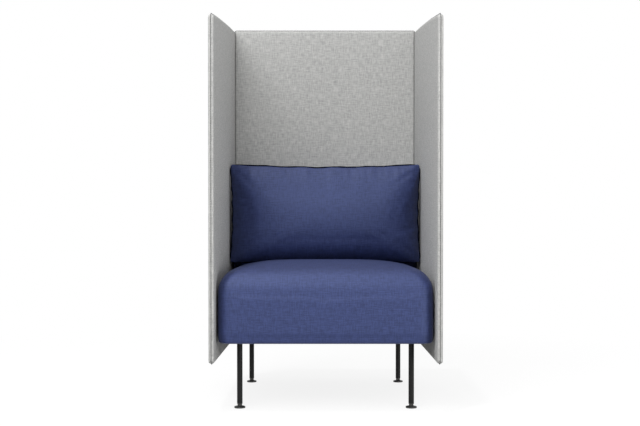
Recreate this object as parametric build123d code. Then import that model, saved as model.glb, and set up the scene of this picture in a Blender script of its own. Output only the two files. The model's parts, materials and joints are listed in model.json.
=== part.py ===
"""Lounge chair inside three tall padded screens, one solid or group of solids for each physical piece.

Millimetres, +Z up, the sitter faces -Y.  The origin is on the floor, below the middle of the plan.
"""
from build123d import *
import math
import os

# ---- Screens -------------------------------------------------------------------------------------
INNER_WIDTH = 700.0  # clear width between the two wings
INNER_DEPTH = 780.0  # front edge of a wing to the face of the back screen
SCREEN_BOTTOM = 160.0  # lower edge of all three screens, above the floor
BACK_TOP = 1357.0  # upper edge of the back screen
WING_TOP_REAR = 1357.0
WING_TOP_FRONT = 1254.0
WING_TOP_BOW = 5.0  # how far the wing's sloping top edge bows upwards
WING_FRONT_RADIUS = 15.0
WING_REAR_RADIUS = 12.0
BACK_SCREEN_RADIUS = 5.0
BOARD = 10.0  # stiff core of a screen
FLEECE = 3.0  # soft layer on each side of the core
SCREEN_FABRIC = 1.0
SCREEN_EDGE_RADIUS = 4.5
EDGE_SEAM = 0.6  # depth of the groove where a screen's two fabric skins meet
FLEECE_BEVEL = 2.0
SCREEN_JOINT = 0.5  # gap between the back screen's end and a wing

# ---- Seat block ----------------------------------------------------------------------------------
SEAT_SETBACK = 39.0  # seat front behind the wings' front edge
SEAT_BACK_GAP = 2.0  # rear of the padded seat to the low back
SEAT_BOTTOM = 218.0
SEAT_SHOULDER = 385.0  # where the upright sides start to roll over
SEAT_ROLL = 75.0
SEAT_CROWN = 20.6
SEAT_CROWN_REACH = 165.0
SEAT_CORNER = 50.0
SEAT_SIDE_GAP = 1.0
UPHOLSTERY = 2.0  # thickness of the blue cover with its backing
COVER_HEM = 30.0
LINING = 1.0
LINING_GAP = 1.0

# ---- Seat frame ----------------------------------------------------------------------------------
RAIL = 22.0
EDGE_FOAM = 30.4  # upright side of the seat foam, above the webbing
WRAP = 10.0  # foam round the outside of the frame
REAR_GAP = 2.0  # rear rail to back screen
WEBBING_RAIL_HEIGHT = 70.0
BEARER_GAP = 2.0  # top of the bearer to the webbing rail above it
CORNER_BLOCK = 170.0
CORNER_BLOCK_THICKNESS = 27.0
BELT_WIDTH = 70.0
BELT = 2.0
BELT_GAP = 0.3
BELT_SETBACK = 2.0  # end of a belt from the outer face of its rail
LENGTHWISE_BELTS = 5
CROSSWISE_BELTS = 4
LENGTHWISE_PITCH = 118.0
CROSSWISE_PITCH = 125.0

# ---- Legs and levelling feet ---------------------------------------------------------------------
LEG_SIDE_INSET = 57.0  # leg's axis from the side of the frame
LEG_FRONT_INSET = 81.0
LEG_REAR_INSET = 86.0
LEG_DIAMETER = 18.0
LEG_WALL = 1.5
LEG_END = 15.0  # tube end above the floor
LEG_PLATE = 60.0
LEG_PLATE_THICKNESS = 4.0
LEG_PLATE_CORNER = 8.0
LEG_WELD = 3.0
LEG_SCREW_SPACING = 44.0
LEG_SCREW_DIAMETER = 5.0
LEG_SCREW_HEAD = 10.0
LEG_SCREW_LENGTH = 27.0
PLUG_LENGTH = 20.0
PLUG_FLANGE = 1.5
STEM_DIAMETER = 8.0
STEM_TOP = 46.0
STEM_HEAD_DIAMETER = 10.0
STEM_HEAD = 3.0
COLLAR_ACROSS_FLATS = 13.0
COLLAR_HEIGHT = 4.0
PAD_DIAMETER = 36.0
PAD_RIM = 4.5
PAD_NECK_DIAMETER = 15.0
PAD_SHOULDER = 7.5
PAD_HEIGHT = 9.0
PAD_FLOOR = 2.5  # thickness below the stem's head

# ---- Low padded back and loose cushion -----------------------------------------------------------
BACK_TOP_HEIGHT = 775.0
BACK_THICKNESS = 150.0
BACK_SCREEN_GAP = 8.0  # room for the hooks behind the padded back
BACK_BOARD = 15.0
BACK_ROLL = 40.0
BACK_CROWN = 14.0
BACK_CROWN_REACH = 100.0
BACK_CORNER = 45.0
BACK_BASE_GAP = 0.5
CUSHION_BACK_GAP = 7.0  # fullest part of the cushion to the low back
CUSHION_TOP = 823.0  # tips of the upper corners
CUSHION_SIDE_GAP = 1.5
CUSHION_THICKNESS = 170.0
CUSHION_REACH = 150.0  # width of the band that swells from the seam to full thickness
CUSHION_CORNER = 9.0
CUSHION_SWELL_CORNER = 70.0
CUSHION_SIDE_PULL = 7.0
CUSHION_TOP_PULL = 8.0
CUSHION_BOTTOM_PULL = 9.0
CUSHION_COVER = 1.5
CUSHION_LIFT = 4.0  # middle of the cushion's lower seam above the seat
CUSHION_SWELL_POWER = 2.4
CUSHION_RING_BOW = 0.5  # every side of a ring bows out by this much where it isn't drawn in
CUSHION_RINGS = 6  # rings from the seam to full thickness
CUSHION_RING_SPREAD = 1.4  # above 1, the rings are closer together near the seam

# ---- Fixings -------------------------------------------------------------------------------------
BOLT_DIAMETER = 8.0
BOLT_HEAD_ACROSS_FLATS = 13.0
BOLT_HEAD = 5.3
BOLT_LEVEL = 300.0
WING_BOLTS = 3
WING_BOLT_PITCH = 270.0
WING_BOLT_MIDDLE = 30.0  # middle of a wing's bolts, behind the middle of the plan
BACK_BOLTS = 2
BACK_BOLT_PITCH = 400.0
SPACER_DIAMETER = 24.0
NUT_DIAMETER = 12.0
BLIND_END = 1.0  # core left behind a blind nut or a dowel
DOWEL_DIAMETER = 6.0
DOWEL_DEPTH = 22.0  # into the end of the back screen's core
DOWELS = 3  # in each corner
DOWEL_PITCH = 380.0
DOWEL_MIDDLE = 800.0  # height of the middle dowel
HOOK_WIDTH = 80.0
HOOK_THICKNESS = 2.0
HOOK_HEIGHT = 40.0
HOOK_LEVEL = 600.0
HOOK_SPACING = 360.0

# ---- Clearances ----------------------------------------------------------------------------------
RUNNING_FIT = 0.05  # radial, thread in its nut and stem in its pad
HOLE_FIT = 0.25  # radial, bolt in a clearance hole
PUSH_FIT = 0.03  # radial, plug in tube and nut or dowel in its hole
SOFT_GAP = 0.3  # between soft pieces that lie against each other

# ---- What follows from them ----------------------------------------------------------------------
SCREEN_THICKNESS = BOARD + 2 * FLEECE + 2 * SCREEN_FABRIC
OVERALL_DEPTH = INNER_DEPTH + SCREEN_THICKNESS
FRONT = -OVERALL_DEPTH / 2
SCREEN_FACE = FRONT + INNER_DEPTH
WING_MIDDLE = (INNER_WIDTH + SCREEN_THICKNESS) / 2
BACK_MIDDLE = SCREEN_FACE + SCREEN_THICKNESS / 2
SEAT_FRONT = FRONT + SEAT_SETBACK
BACK_REAR = SCREEN_FACE - BACK_SCREEN_GAP
BACK_FRONT = BACK_REAR - BACK_THICKNESS
SEAT_REAR = BACK_FRONT - SEAT_BACK_GAP
SEAT_LENGTH = SEAT_REAR - SEAT_FRONT
CUSHION_SEAM_Y = BACK_FRONT - CUSHION_BACK_GAP - CUSHION_THICKNESS / 2
SEAT_HALF_WIDTH = INNER_WIDTH / 2 - SEAT_SIDE_GAP
FRAME_BOTTOM = SEAT_BOTTOM + UPHOLSTERY
WEBBING = 2 * BELT + BELT_GAP  # two belts where they cross
FOAM_BASE = SEAT_SHOULDER - EDGE_FOAM
FRAME_TOP = FOAM_BASE - SOFT_GAP - WEBBING
FRAME_HALF_WIDTH = SEAT_HALF_WIDTH - UPHOLSTERY - WRAP
FRAME_FRONT = SEAT_FRONT + UPHOLSTERY + WRAP
FRAME_REAR = SCREEN_FACE - REAR_GAP
LINING_BOTTOM = FRAME_BOTTOM - LINING
LEG_X = FRAME_HALF_WIDTH - LEG_SIDE_INSET
LEG_FRONT_Y = FRAME_FRONT + LEG_FRONT_INSET
LEG_REAR_Y = FRAME_REAR - LEG_REAR_INSET
LEG_PLACES = {
    "front_left": (-LEG_X, LEG_FRONT_Y),
    "front_right": (LEG_X, LEG_FRONT_Y),
    "rear_left": (-LEG_X, LEG_REAR_Y),
    "rear_right": (LEG_X, LEG_REAR_Y),
}
STAND = (Align.CENTER, Align.CENTER, Align.MIN)
ROLL_END = 75.0  # degrees of arc before the crown takes over
ROLL_STEPS = 4
CROWN_STEPS = 4
RING_CORNER_GROWTH = 1 / 3  # extra corner radius for each millimetre that a ring is drawn in
RING_ROUNDNESS = 0.45  # largest corner radius, as a share of a ring's shorter side

pieces = {}


# ---- Small helpers -------------------------------------------------------------------------------
def box_between(low, high):
    """An upright box from its lowest to its highest corner."""
    size = [b - a for a, b in zip(low, high)]
    middle = [(a + b) / 2 for a, b in zip(low, high)]
    return Pos(*middle) * Box(*size)


def row_of_places(middle, count, pitch):
    """Evenly spaced positions about a middle."""
    return [middle + (i - (count - 1) / 2) * pitch for i in range(count)]


def rod(start, direction, radius, length):
    """A cylinder that starts at a point and runs along a direction."""
    return Plane(origin=start, z_dir=direction) * Cylinder(radius, length, align=STAND)


def hexagon(start, direction, across_flats, length):
    """A hexagonal prism, as on a bolt head."""
    outline = RegularPolygon(across_flats / 2, 6, major_radius=False)
    return extrude(Plane(origin=start, z_dir=direction) * outline, amount=length)


# ---- Screens -------------------------------------------------------------------------------------
def wing_outline(inset):
    """Side view of a wing in (Y, Z): upright front and rear, level bottom, sloping bowed top."""
    front = FRONT + inset
    rear = -FRONT - inset
    bottom = SCREEN_BOTTOM + inset
    top_front = (front, WING_TOP_FRONT - inset)
    top_rear = (rear, WING_TOP_REAR - inset)
    outline = make_face(
        [
            Line((front, bottom), (rear, bottom)),
            Line((rear, bottom), top_rear),
            SagittaArc(top_rear, top_front, -WING_TOP_BOW),
            Line(top_front, (front, bottom)),
        ]
    )
    outline = fillet(outline.vertices().group_by(Axis.X)[0], WING_FRONT_RADIUS - inset)
    return fillet(outline.vertices().group_by(Axis.X)[-1], WING_REAR_RADIUS - inset)


def back_outline(inset):
    """Front view of the back screen in (X, Z)."""
    width = INNER_WIDTH - 2 * SCREEN_JOINT - 2 * inset
    height = BACK_TOP - SCREEN_BOTTOM - 2 * inset
    middle = (BACK_TOP + SCREEN_BOTTOM) / 2
    return Pos(0, middle) * RectangleRounded(width, height, BACK_SCREEN_RADIUS - inset)


def fleece_sheet(outline, side):
    """The soft layer on one side of the core, its outer rim bevelled."""
    sheet = extrude(Pos(0, 0, side * BOARD / 2) * outline(SCREEN_FABRIC), amount=side * FLEECE)
    rim = sheet.faces().sort_by(Axis.Z)[-1 if side > 0 else 0].edges()
    return chamfer(rim, FLEECE_BEVEL)


def fabric_skin(outline, side):
    """One fabric skin: half of the screen's outer form, with room inside for board and fleece."""
    half = extrude(outline(0), amount=side * SCREEN_THICKNESS / 2)
    order = 1 if side > 0 else -1
    faces = half.faces().sort_by(Axis.Z)[::order]
    half = fillet(faces[-1].edges(), SCREEN_EDGE_RADIUS)
    half = chamfer(half.faces().sort_by(Axis.Z)[::order][0].edges(), EDGE_SEAM)
    core = extrude(outline(SCREEN_FABRIC), amount=side * BOARD / 2)
    return half - core - fleece_sheet(outline, side)


def make_screen(name, plane, outline, inner_side, skin_holes, core_holes):
    """Core, fleece and two fabric skins of one screen; holes are cut through its inner layers."""
    core = plane * extrude(outline(SCREEN_FABRIC), amount=BOARD / 2, both=True)
    inner_fleece = plane * fleece_sheet(outline, inner_side)
    outer_fleece = plane * fleece_sheet(outline, -inner_side)
    pieces[f"{name}_core"] = core - core_holes
    pieces[f"{name}_fleece"] = Compound([(inner_fleece - skin_holes).solid(), outer_fleece.solid()])
    pieces[f"{name}_inner_fabric"] = plane * fabric_skin(outline, inner_side) - skin_holes
    pieces[f"{name}_outer_fabric"] = plane * fabric_skin(outline, -inner_side)


# ---- Bolts between the seat frame and the screens, and dowels at the corners ----------------------
def bolt_axes():
    """(rail's inner face point, outward direction, gap from the rail to the screen) of each bolt."""
    inside = FRAME_HALF_WIDTH - RAIL
    side_gap = INNER_WIDTH / 2 - FRAME_HALF_WIDTH
    for side in (-1, 1):
        for place in row_of_places(WING_BOLT_MIDDLE, WING_BOLTS, WING_BOLT_PITCH):
            yield Vector(side * inside, place, BOLT_LEVEL), Vector(side, 0, 0), side_gap
    for place in row_of_places(0, BACK_BOLTS, BACK_BOLT_PITCH):
        yield Vector(place, FRAME_REAR - RAIL, BOLT_LEVEL), Vector(0, 1, 0), REAR_GAP


def make_screen_bolts():
    """Bolts, spacers and blind nuts, and the holes that they need in rails, padding and screens."""
    bolts, spacers, nuts = [], [], []
    holes = {"rail": [], "padding": [], "skin": [], "core": []}
    shank = BOLT_DIAMETER / 2
    to_core = SCREEN_FABRIC + FLEECE
    nut_length = BOARD - BLIND_END
    for start, direction, gap in bolt_axes():
        screen_face = start + direction * (RAIL + gap)
        core_face = screen_face + direction * to_core
        reach = RAIL + gap + to_core + nut_length
        head = hexagon(start, -direction, BOLT_HEAD_ACROSS_FLATS, BOLT_HEAD)
        bolts.append(head + rod(start, direction, shank, reach))
        spacer = rod(start + direction * RAIL, direction, SPACER_DIAMETER / 2, gap)
        spacers.append(spacer - rod(start, direction, shank + HOLE_FIT, reach))
        nut = rod(core_face, direction, NUT_DIAMETER / 2, nut_length)
        nuts.append(nut - rod(start, direction, shank + RUNNING_FIT, reach))
        holes["rail"].append(rod(start, direction, shank + HOLE_FIT, RAIL))
        padding = rod(start + direction * RAIL, direction, SPACER_DIAMETER / 2 + HOLE_FIT, gap)
        holes["padding"].append(padding)
        holes["skin"].append(rod(screen_face, direction, shank + HOLE_FIT, to_core))
        holes["core"].append(rod(core_face, direction, NUT_DIAMETER / 2 + PUSH_FIT, nut_length))
    pieces["screen_bolts"] = Compound([bolt.solid() for bolt in bolts])
    pieces["screen_spacers"] = Compound([spacer.solid() for spacer in spacers])
    pieces["screen_nuts"] = Compound([nut.solid() for nut in nuts])
    return holes


def make_dowels():
    """Dowels that hold each wing to the ends of the back screen, and their holes."""
    start = INNER_WIDTH / 2 - SCREEN_JOINT - SCREEN_FABRIC - DOWEL_DEPTH
    end = INNER_WIDTH / 2 + SCREEN_FABRIC + FLEECE + BOARD - BLIND_END
    dowels, holes = [], []
    for side in (-1, 1):
        for level in row_of_places(DOWEL_MIDDLE, DOWELS, DOWEL_PITCH):
            foot = Vector(side * start, BACK_MIDDLE, level)
            direction = Vector(side, 0, 0)
            dowels.append(rod(foot, direction, DOWEL_DIAMETER / 2, end - start))
            holes.append(rod(foot, direction, DOWEL_DIAMETER / 2 + PUSH_FIT, end - start))
    pieces["corner_dowels"] = Compound([dowel.solid() for dowel in dowels])
    return holes


def make_screens(bolt_holes, dowel_holes):
    """The two wings and the back screen between them."""
    skin_holes = bolt_holes["skin"] + dowel_holes
    core_holes = bolt_holes["core"] + dowel_holes
    left = Plane.YZ.offset(-WING_MIDDLE)
    right = Plane.YZ.offset(WING_MIDDLE)
    back = Plane.XZ.offset(-BACK_MIDDLE)
    make_screen("left_wing", left, wing_outline, 1, skin_holes, core_holes)
    make_screen("right_wing", right, wing_outline, -1, skin_holes, core_holes)
    make_screen("back_screen", back, back_outline, 1, skin_holes, core_holes)
    back_outer = pieces["back_screen_outer_fabric"]
    pieces["back_screen_outer_fabric"] = back_outer - dowel_holes


# ---- Padded blocks -------------------------------------------------------------------------------
def crown_height(inset, roll, crown, reach):
    """Height of a padded block's surface above its shoulder, a given distance in from its side."""
    end = math.radians(ROLL_END)
    arc_inset = roll * (1 - math.cos(end))
    if inset <= arc_inset:
        return math.sqrt(roll**2 - (roll - inset) ** 2)
    share = min((inset - arc_inset) / reach, 1)
    return roll * math.sin(end) + crown * (1 - (1 - share) ** 2)


def padded_block(width, length, base, shoulder, roll, crown, reach, corner):
    """A padded block on the local XY plane: upright sides, a rolled edge and a crowned face."""
    arc_inset = roll * (1 - math.cos(math.radians(ROLL_END)))
    insets = [0.0]
    for step in range(1, ROLL_STEPS + 1):
        insets.append(roll * (1 - math.cos(math.radians(ROLL_END * step / ROLL_STEPS))))
    for step in range(1, CROWN_STEPS + 1):
        insets.append(arc_inset + reach * step / CROWN_STEPS)
    rings = []
    for inset in insets:
        ring_width = width - 2 * inset
        ring_length = length - 2 * inset
        radius = min(
            corner + inset * RING_CORNER_GROWTH, RING_ROUNDNESS * min(ring_width, ring_length)
        )
        outline = RectangleRounded(ring_width, ring_length, radius)
        rings.append(Pos(0, 0, shoulder + crown_height(inset, roll, crown, reach)) * outline)
    foot = Pos(0, 0, base) * RectangleRounded(width, length, corner)
    return extrude(foot, amount=shoulder - base) + loft(rings, ruled=True)


def seat_form(inset, base):
    """The seat's padded form, or the same form a cover's thickness smaller."""
    block = padded_block(
        2 * (SEAT_HALF_WIDTH - inset),
        SEAT_LENGTH - 2 * inset,
        base,
        SEAT_SHOULDER,
        SEAT_ROLL - inset,
        SEAT_CROWN,
        SEAT_CROWN_REACH,
        SEAT_CORNER - inset,
    )
    return Pos(0, (SEAT_FRONT + SEAT_REAR) / 2, 0) * block


def make_seat_padding(padding_holes):
    """Cover, foam, the wrap round the frame and the lining underneath."""
    rear = SEAT_REAR
    inside = SEAT_HALF_WIDTH - UPHOLSTERY
    front = SEAT_FRONT + UPHOLSTERY
    foam = seat_form(UPHOLSTERY, FOAM_BASE)
    frame_room = box_between((-inside, front, FRAME_BOTTOM), (inside, rear, FOAM_BASE))
    frame_room = fillet(
        frame_room.edges().filter_by(Axis.Z).group_by(Axis.Y)[0], SEAT_CORNER - UPHOLSTERY
    )
    hem = SEAT_HALF_WIDTH - COVER_HEM
    hem_room = box_between((-hem, SEAT_FRONT + COVER_HEM, SEAT_BOTTOM), (hem, rear, FRAME_BOTTOM))
    cover = seat_form(0, SEAT_BOTTOM) - foam - frame_room - hem_room
    pieces["seat_cover"] = cover - padding_holes
    pieces["seat_foam"] = foam

    wrap_rear = rear - UPHOLSTERY
    outside = box_between((-inside, front, FRAME_BOTTOM), (inside, wrap_rear, FOAM_BASE))
    outside = fillet(outside.edges().filter_by(Axis.Z).group_by(Axis.Y)[0], SEAT_CORNER - UPHOLSTERY)
    pieces["frame_wrap"] = outside - frame_envelope(wrap_rear, FOAM_BASE) - padding_holes

    lining_side = hem - LINING_GAP
    lining_front = SEAT_FRONT + COVER_HEM + LINING_GAP
    pieces["bottom_lining"] = box_between(
        (-lining_side, lining_front, LINING_BOTTOM), (lining_side, FRAME_REAR, FRAME_BOTTOM)
    ) - leg_screw_holes()


# ---- Seat frame ----------------------------------------------------------------------------------
def frame_envelope(rear, top):
    """The frame's outside, with its front corners rounded to suit the cover."""
    block = box_between(
        (-FRAME_HALF_WIDTH, FRAME_FRONT, FRAME_BOTTOM), (FRAME_HALF_WIDTH, rear, top)
    )
    front_edges = block.edges().filter_by(Axis.Z).group_by(Axis.Y)[0]
    return fillet(front_edges, SEAT_CORNER - UPHOLSTERY - WRAP)


def make_corner_block(side_x, side_y):
    """A triangular block glued into one corner of the frame, which a leg is screwed to."""
    corner_x = side_x * (FRAME_HALF_WIDTH - RAIL)
    corner_y = FRAME_REAR - RAIL if side_y > 0 else FRAME_FRONT + RAIL
    outline = Polygon(
        (corner_x, corner_y),
        (corner_x - side_x * CORNER_BLOCK, corner_y),
        (corner_x, corner_y - side_y * CORNER_BLOCK),
        align=None,
    )
    return extrude(Pos(0, 0, FRAME_BOTTOM) * outline, amount=CORNER_BLOCK_THICKNESS, dir=(0, 0, 1))


def make_frame(rail_holes):
    """Four rails, the webbing rail, the bearer and the corner blocks."""
    inner = FRAME_HALF_WIDTH - RAIL
    inner_front = FRAME_FRONT + RAIL
    inner_rear = FRAME_REAR - RAIL
    outside = frame_envelope(FRAME_REAR, FRAME_TOP)
    front = box_between(
        (-FRAME_HALF_WIDTH, FRAME_FRONT, FRAME_BOTTOM), (FRAME_HALF_WIDTH, inner_front, FRAME_TOP)
    )
    pieces["front_rail"] = front & outside
    pieces["rear_rail"] = (
        box_between(
            (-FRAME_HALF_WIDTH, inner_rear, FRAME_BOTTOM), (FRAME_HALF_WIDTH, FRAME_REAR, FRAME_TOP)
        )
        - rail_holes
    )
    for name, side in (("left_rail", -1), ("right_rail", 1)):
        ends = sorted((side * inner, side * FRAME_HALF_WIDTH))
        rail = box_between((ends[0], inner_front, FRAME_BOTTOM), (ends[1], inner_rear, FRAME_TOP))
        pieces[name] = (rail & outside) - rail_holes
    seat_end = SEAT_REAR
    pieces["webbing_rail"] = box_between(
        (-inner, seat_end - RAIL, FRAME_TOP - WEBBING_RAIL_HEIGHT), (inner, seat_end, FRAME_TOP)
    )
    bearer_top = FRAME_TOP - WEBBING_RAIL_HEIGHT - BEARER_GAP
    pieces["centre_bearer"] = box_between(
        (-RAIL / 2, inner_front, FRAME_BOTTOM), (RAIL / 2, inner_rear, bearer_top)
    )
    screw_holes = leg_screw_holes()
    for name, (x, y) in LEG_PLACES.items():
        block = make_corner_block(math.copysign(1, x), 1 if name.startswith("rear") else -1)
        pieces[f"{name}_corner_block"] = block - screw_holes


# ---- Elastic webbing -----------------------------------------------------------------------------
def belt_side_view(start, end, crossings, first_over):
    """Side view of a woven belt: level on both rails, over and under each belt that it crosses."""
    level = FRAME_TOP + BELT / 2
    lift = (BELT + BELT_GAP) / 2
    line = [(start, level), (start + RAIL, level)]
    over = first_over
    for crossing in crossings:
        height = level + lift if over else level - lift
        line.append((crossing - BELT_WIDTH / 2, height))
        line.append((crossing + BELT_WIDTH / 2, height))
        over = not over
    line += [(end - RAIL, level), (end, level)]
    upper = [(along, height + BELT / 2) for along, height in line]
    lower = [(along, height - BELT / 2) for along, height in reversed(line)]
    return make_face(Polyline(*upper, *lower, close=True))


def make_webbing():
    """Elastic belts, woven over and under each other across the frame."""
    lengthwise = row_of_places(0, LENGTHWISE_BELTS, LENGTHWISE_PITCH)
    crosswise = row_of_places((FRAME_FRONT + SEAT_REAR) / 2, CROSSWISE_BELTS, CROSSWISE_PITCH)
    front = FRAME_FRONT + BELT_SETBACK
    rear = SEAT_REAR - BELT_SETBACK
    side = FRAME_HALF_WIDTH - BELT_SETBACK
    long_belts, cross_belts = [], []
    for i, place in enumerate(lengthwise):
        view = Plane.YZ * belt_side_view(front, rear, crosswise, i % 2 == 0)
        long_belts.append(Pos(place - BELT_WIDTH / 2, 0, 0) * extrude(view, amount=BELT_WIDTH))
    for i, place in enumerate(crosswise):
        view = Plane.XZ * belt_side_view(-side, side, lengthwise, i % 2 == 1)
        cross_belts.append(Pos(0, place + BELT_WIDTH / 2, 0) * extrude(view, amount=BELT_WIDTH))
    pieces["lengthwise_webbing"] = Compound([belt.solid() for belt in long_belts])
    pieces["crosswise_webbing"] = Compound([belt.solid() for belt in cross_belts])


# ---- Legs ----------------------------------------------------------------------------------------
def leg_screw_points():
    """Plan position of every screw that holds a leg's plate."""
    step = LEG_SCREW_SPACING / 2
    for x, y in LEG_PLACES.values():
        for dx in (-step, step):
            for dy in (-step, step):
                yield x + dx, y + dy


def leg_screw(x, y, clearance):
    """A countersunk screw, or with a clearance the hole that it needs."""
    bottom = LINING_BOTTOM - LEG_PLATE_THICKNESS
    radius = LEG_SCREW_DIAMETER / 2 + clearance
    head_radius = LEG_SCREW_HEAD / 2 + clearance
    head_depth = head_radius - radius
    head = Pos(x, y, bottom) * Cone(head_radius, radius, head_depth, align=STAND)
    return head + Pos(x, y, bottom) * Cylinder(radius, LEG_SCREW_LENGTH, align=STAND)


def leg_screw_holes():
    """Cutters for the screws of all four legs."""
    return [leg_screw(x, y, RUNNING_FIT) for x, y in leg_screw_points()]


def make_leg(x, y):
    """Round tube welded under a square plate."""
    plate_bottom = LINING_BOTTOM - LEG_PLATE_THICKNESS
    plate = extrude(
        Pos(x, y, plate_bottom) * RectangleRounded(LEG_PLATE, LEG_PLATE, LEG_PLATE_CORNER),
        amount=LEG_PLATE_THICKNESS,
    )
    tube = Pos(x, y, LEG_END) * Cylinder(LEG_DIAMETER / 2, plate_bottom - LEG_END, align=STAND)
    weld = Pos(x, y, plate_bottom - LEG_WELD) * Cone(
        LEG_DIAMETER / 2, LEG_DIAMETER / 2 + LEG_WELD, LEG_WELD, align=STAND
    )
    bore_radius = LEG_DIAMETER / 2 - LEG_WALL
    bore = Pos(x, y, LEG_END) * Cylinder(bore_radius, plate_bottom - LEG_END, align=STAND)
    return plate + tube + weld - bore


def make_plug(x, y):
    """Threaded plug pressed into the tube's lower end."""
    flange = Pos(x, y, LEG_END - PLUG_FLANGE) * Cylinder(LEG_DIAMETER / 2, PLUG_FLANGE, align=STAND)
    radius = LEG_DIAMETER / 2 - LEG_WALL - PUSH_FIT
    body = Pos(x, y, LEG_END) * Cylinder(radius, PLUG_LENGTH, align=STAND)
    bore = Pos(x, y, LEG_END - PLUG_FLANGE) * Cylinder(
        STEM_DIAMETER / 2 + RUNNING_FIT, PLUG_LENGTH + PLUG_FLANGE, align=STAND
    )
    return flange + body - bore


def make_stem(x, y):
    """Threaded stem with a hexagonal collar, its round head trapped in the foot pad."""
    base = PAD_FLOOR + RUNNING_FIT
    head = Pos(x, y, base) * Cylinder(STEM_HEAD_DIAMETER / 2, STEM_HEAD, align=STAND)
    shank = Pos(x, y, base) * Cylinder(STEM_DIAMETER / 2, STEM_TOP - base, align=STAND)
    collar_base = (x, y, LEG_END - PLUG_FLANGE - SOFT_GAP - COLLAR_HEIGHT)
    collar = hexagon(collar_base, (0, 0, 1), COLLAR_ACROSS_FLATS, COLLAR_HEIGHT)
    return head + shank + collar


def make_pad(x, y):
    """Round foot: a flat rim, a low cone and a neck that holds the stem."""
    rim = PAD_DIAMETER / 2
    neck = PAD_NECK_DIAMETER / 2
    bore = STEM_DIAMETER / 2 + RUNNING_FIT
    socket = STEM_HEAD_DIAMETER / 2 + RUNNING_FIT
    socket_top = PAD_FLOOR + STEM_HEAD + 2 * RUNNING_FIT
    section = Polyline(
        (0, 0),
        (rim, 0),
        (rim, PAD_RIM),
        (neck, PAD_SHOULDER),
        (neck, PAD_HEIGHT),
        (bore, PAD_HEIGHT),
        (bore, socket_top),
        (socket, socket_top),
        (socket, PAD_FLOOR),
        (0, PAD_FLOOR),
        close=True,
    )
    return Pos(x, y, 0) * revolve(Plane.XZ * make_face(section), Axis.Z)


def make_legs():
    """Leg, plug, stem and pad at each corner, and the screws."""
    holes = leg_screw_holes()
    for name, (x, y) in LEG_PLACES.items():
        pieces[f"{name}_leg"] = make_leg(x, y) - holes
        pieces[f"{name}_plug"] = make_plug(x, y)
        pieces[f"{name}_stem"] = make_stem(x, y)
        pieces[f"{name}_pad"] = make_pad(x, y)
    screws = [leg_screw(x, y, 0).solid() for x, y in leg_screw_points()]
    pieces["leg_screws"] = Compound(screws)


# ---- Low padded back -----------------------------------------------------------------------------
def make_back():
    """A padded block behind the cushion: plywood board, foam and cover, hooked on the back screen."""
    base = FRAME_TOP + BACK_BASE_GAP
    height = BACK_TOP_HEIGHT - base
    plane = Plane(origin=(0, BACK_REAR, base + height / 2), x_dir=(1, 0, 0), z_dir=(0, -1, 0))
    shoulder = BACK_THICKNESS - BACK_CROWN - BACK_ROLL * math.sin(math.radians(ROLL_END))

    def form(inset, depth_inset):
        block = padded_block(
            2 * (SEAT_HALF_WIDTH - inset),
            height - 2 * inset,
            depth_inset,
            shoulder,
            BACK_ROLL - inset,
            BACK_CROWN,
            BACK_CROWN_REACH,
            BACK_CORNER - inset,
        )
        return plane * block

    inside = form(UPHOLSTERY, UPHOLSTERY)
    board_rear = BACK_REAR - UPHOLSTERY
    board = inside & box_between(
        (-INNER_WIDTH, board_rear - BACK_BOARD, 0), (INNER_WIDTH, board_rear, BACK_TOP)
    )
    pieces["back_board"] = board
    pieces["back_foam"] = form(UPHOLSTERY, UPHOLSTERY + BACK_BOARD)
    pieces["back_cover"] = form(0, 0) - inside


def make_hooks():
    """Two pairs of hook strips that hang the padded back on the back screen."""
    rear = BACK_REAR
    lip_face = rear + BACK_SCREEN_GAP / 2 + SOFT_GAP
    lip = HOOK_THICKNESS / 2
    half = HOOK_HEIGHT / 2
    catch = HOOK_LEVEL + half / 2 + SOFT_GAP
    screen_strips, back_strips = [], []
    for side in (-1, 1):
        left = side * HOOK_SPACING / 2 - HOOK_WIDTH / 2
        right = left + HOOK_WIDTH

        def bar(front_low, rear_high):
            return box_between((left, *front_low), (right, *rear_high))

        plate = bar((SCREEN_FACE - HOOK_THICKNESS, HOOK_LEVEL - half), (SCREEN_FACE, HOOK_LEVEL))
        shelf = bar((lip_face, HOOK_LEVEL - HOOK_THICKNESS), (SCREEN_FACE, HOOK_LEVEL))
        edge = bar((lip_face, HOOK_LEVEL), (lip_face + lip, HOOK_LEVEL + half / 2))
        screen_strips.append(plate + shelf + edge)
        plate = bar((rear, catch), (rear + HOOK_THICKNESS, catch + half))
        arm = bar((rear, catch), (lip_face + lip + SOFT_GAP + lip, catch + HOOK_THICKNESS))
        back_strips.append(plate + arm)
    pieces["screen_hooks"] = Compound([strip.solid() for strip in screen_strips])
    pieces["back_hooks"] = Compound([strip.solid() for strip in back_strips])


# ---- Loose cushion -------------------------------------------------------------------------------
def pillow_outline(left, right, bottom, top, radius, pulls):
    """Four bowed sides joined by round corners; a positive pull draws a side in."""
    side_pull, top_pull, bottom_pull = pulls
    slant = radius * (1 - math.sqrt(0.5))
    middle_x = (left + right) / 2
    middle_z = (bottom + top) / 2
    return make_face(
        [
            ThreePointArc(
                (left + radius, bottom), (middle_x, bottom + bottom_pull), (right - radius, bottom)
            ),
            ThreePointArc(
                (right - radius, bottom), (right - slant, bottom + slant), (right, bottom + radius)
            ),
            ThreePointArc((right, bottom + radius), (right - side_pull, middle_z), (right, top - radius)),
            ThreePointArc((right, top - radius), (right - slant, top - slant), (right - radius, top)),
            ThreePointArc((right - radius, top), (middle_x, top - top_pull), (left + radius, top)),
            ThreePointArc((left + radius, top), (left + slant, top - slant), (left, top - radius)),
            ThreePointArc((left, top - radius), (left + side_pull, middle_z), (left, bottom + radius)),
            ThreePointArc(
                (left, bottom + radius), (left + slant, bottom + slant), (left + radius, bottom)
            ),
        ]
    )


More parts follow.
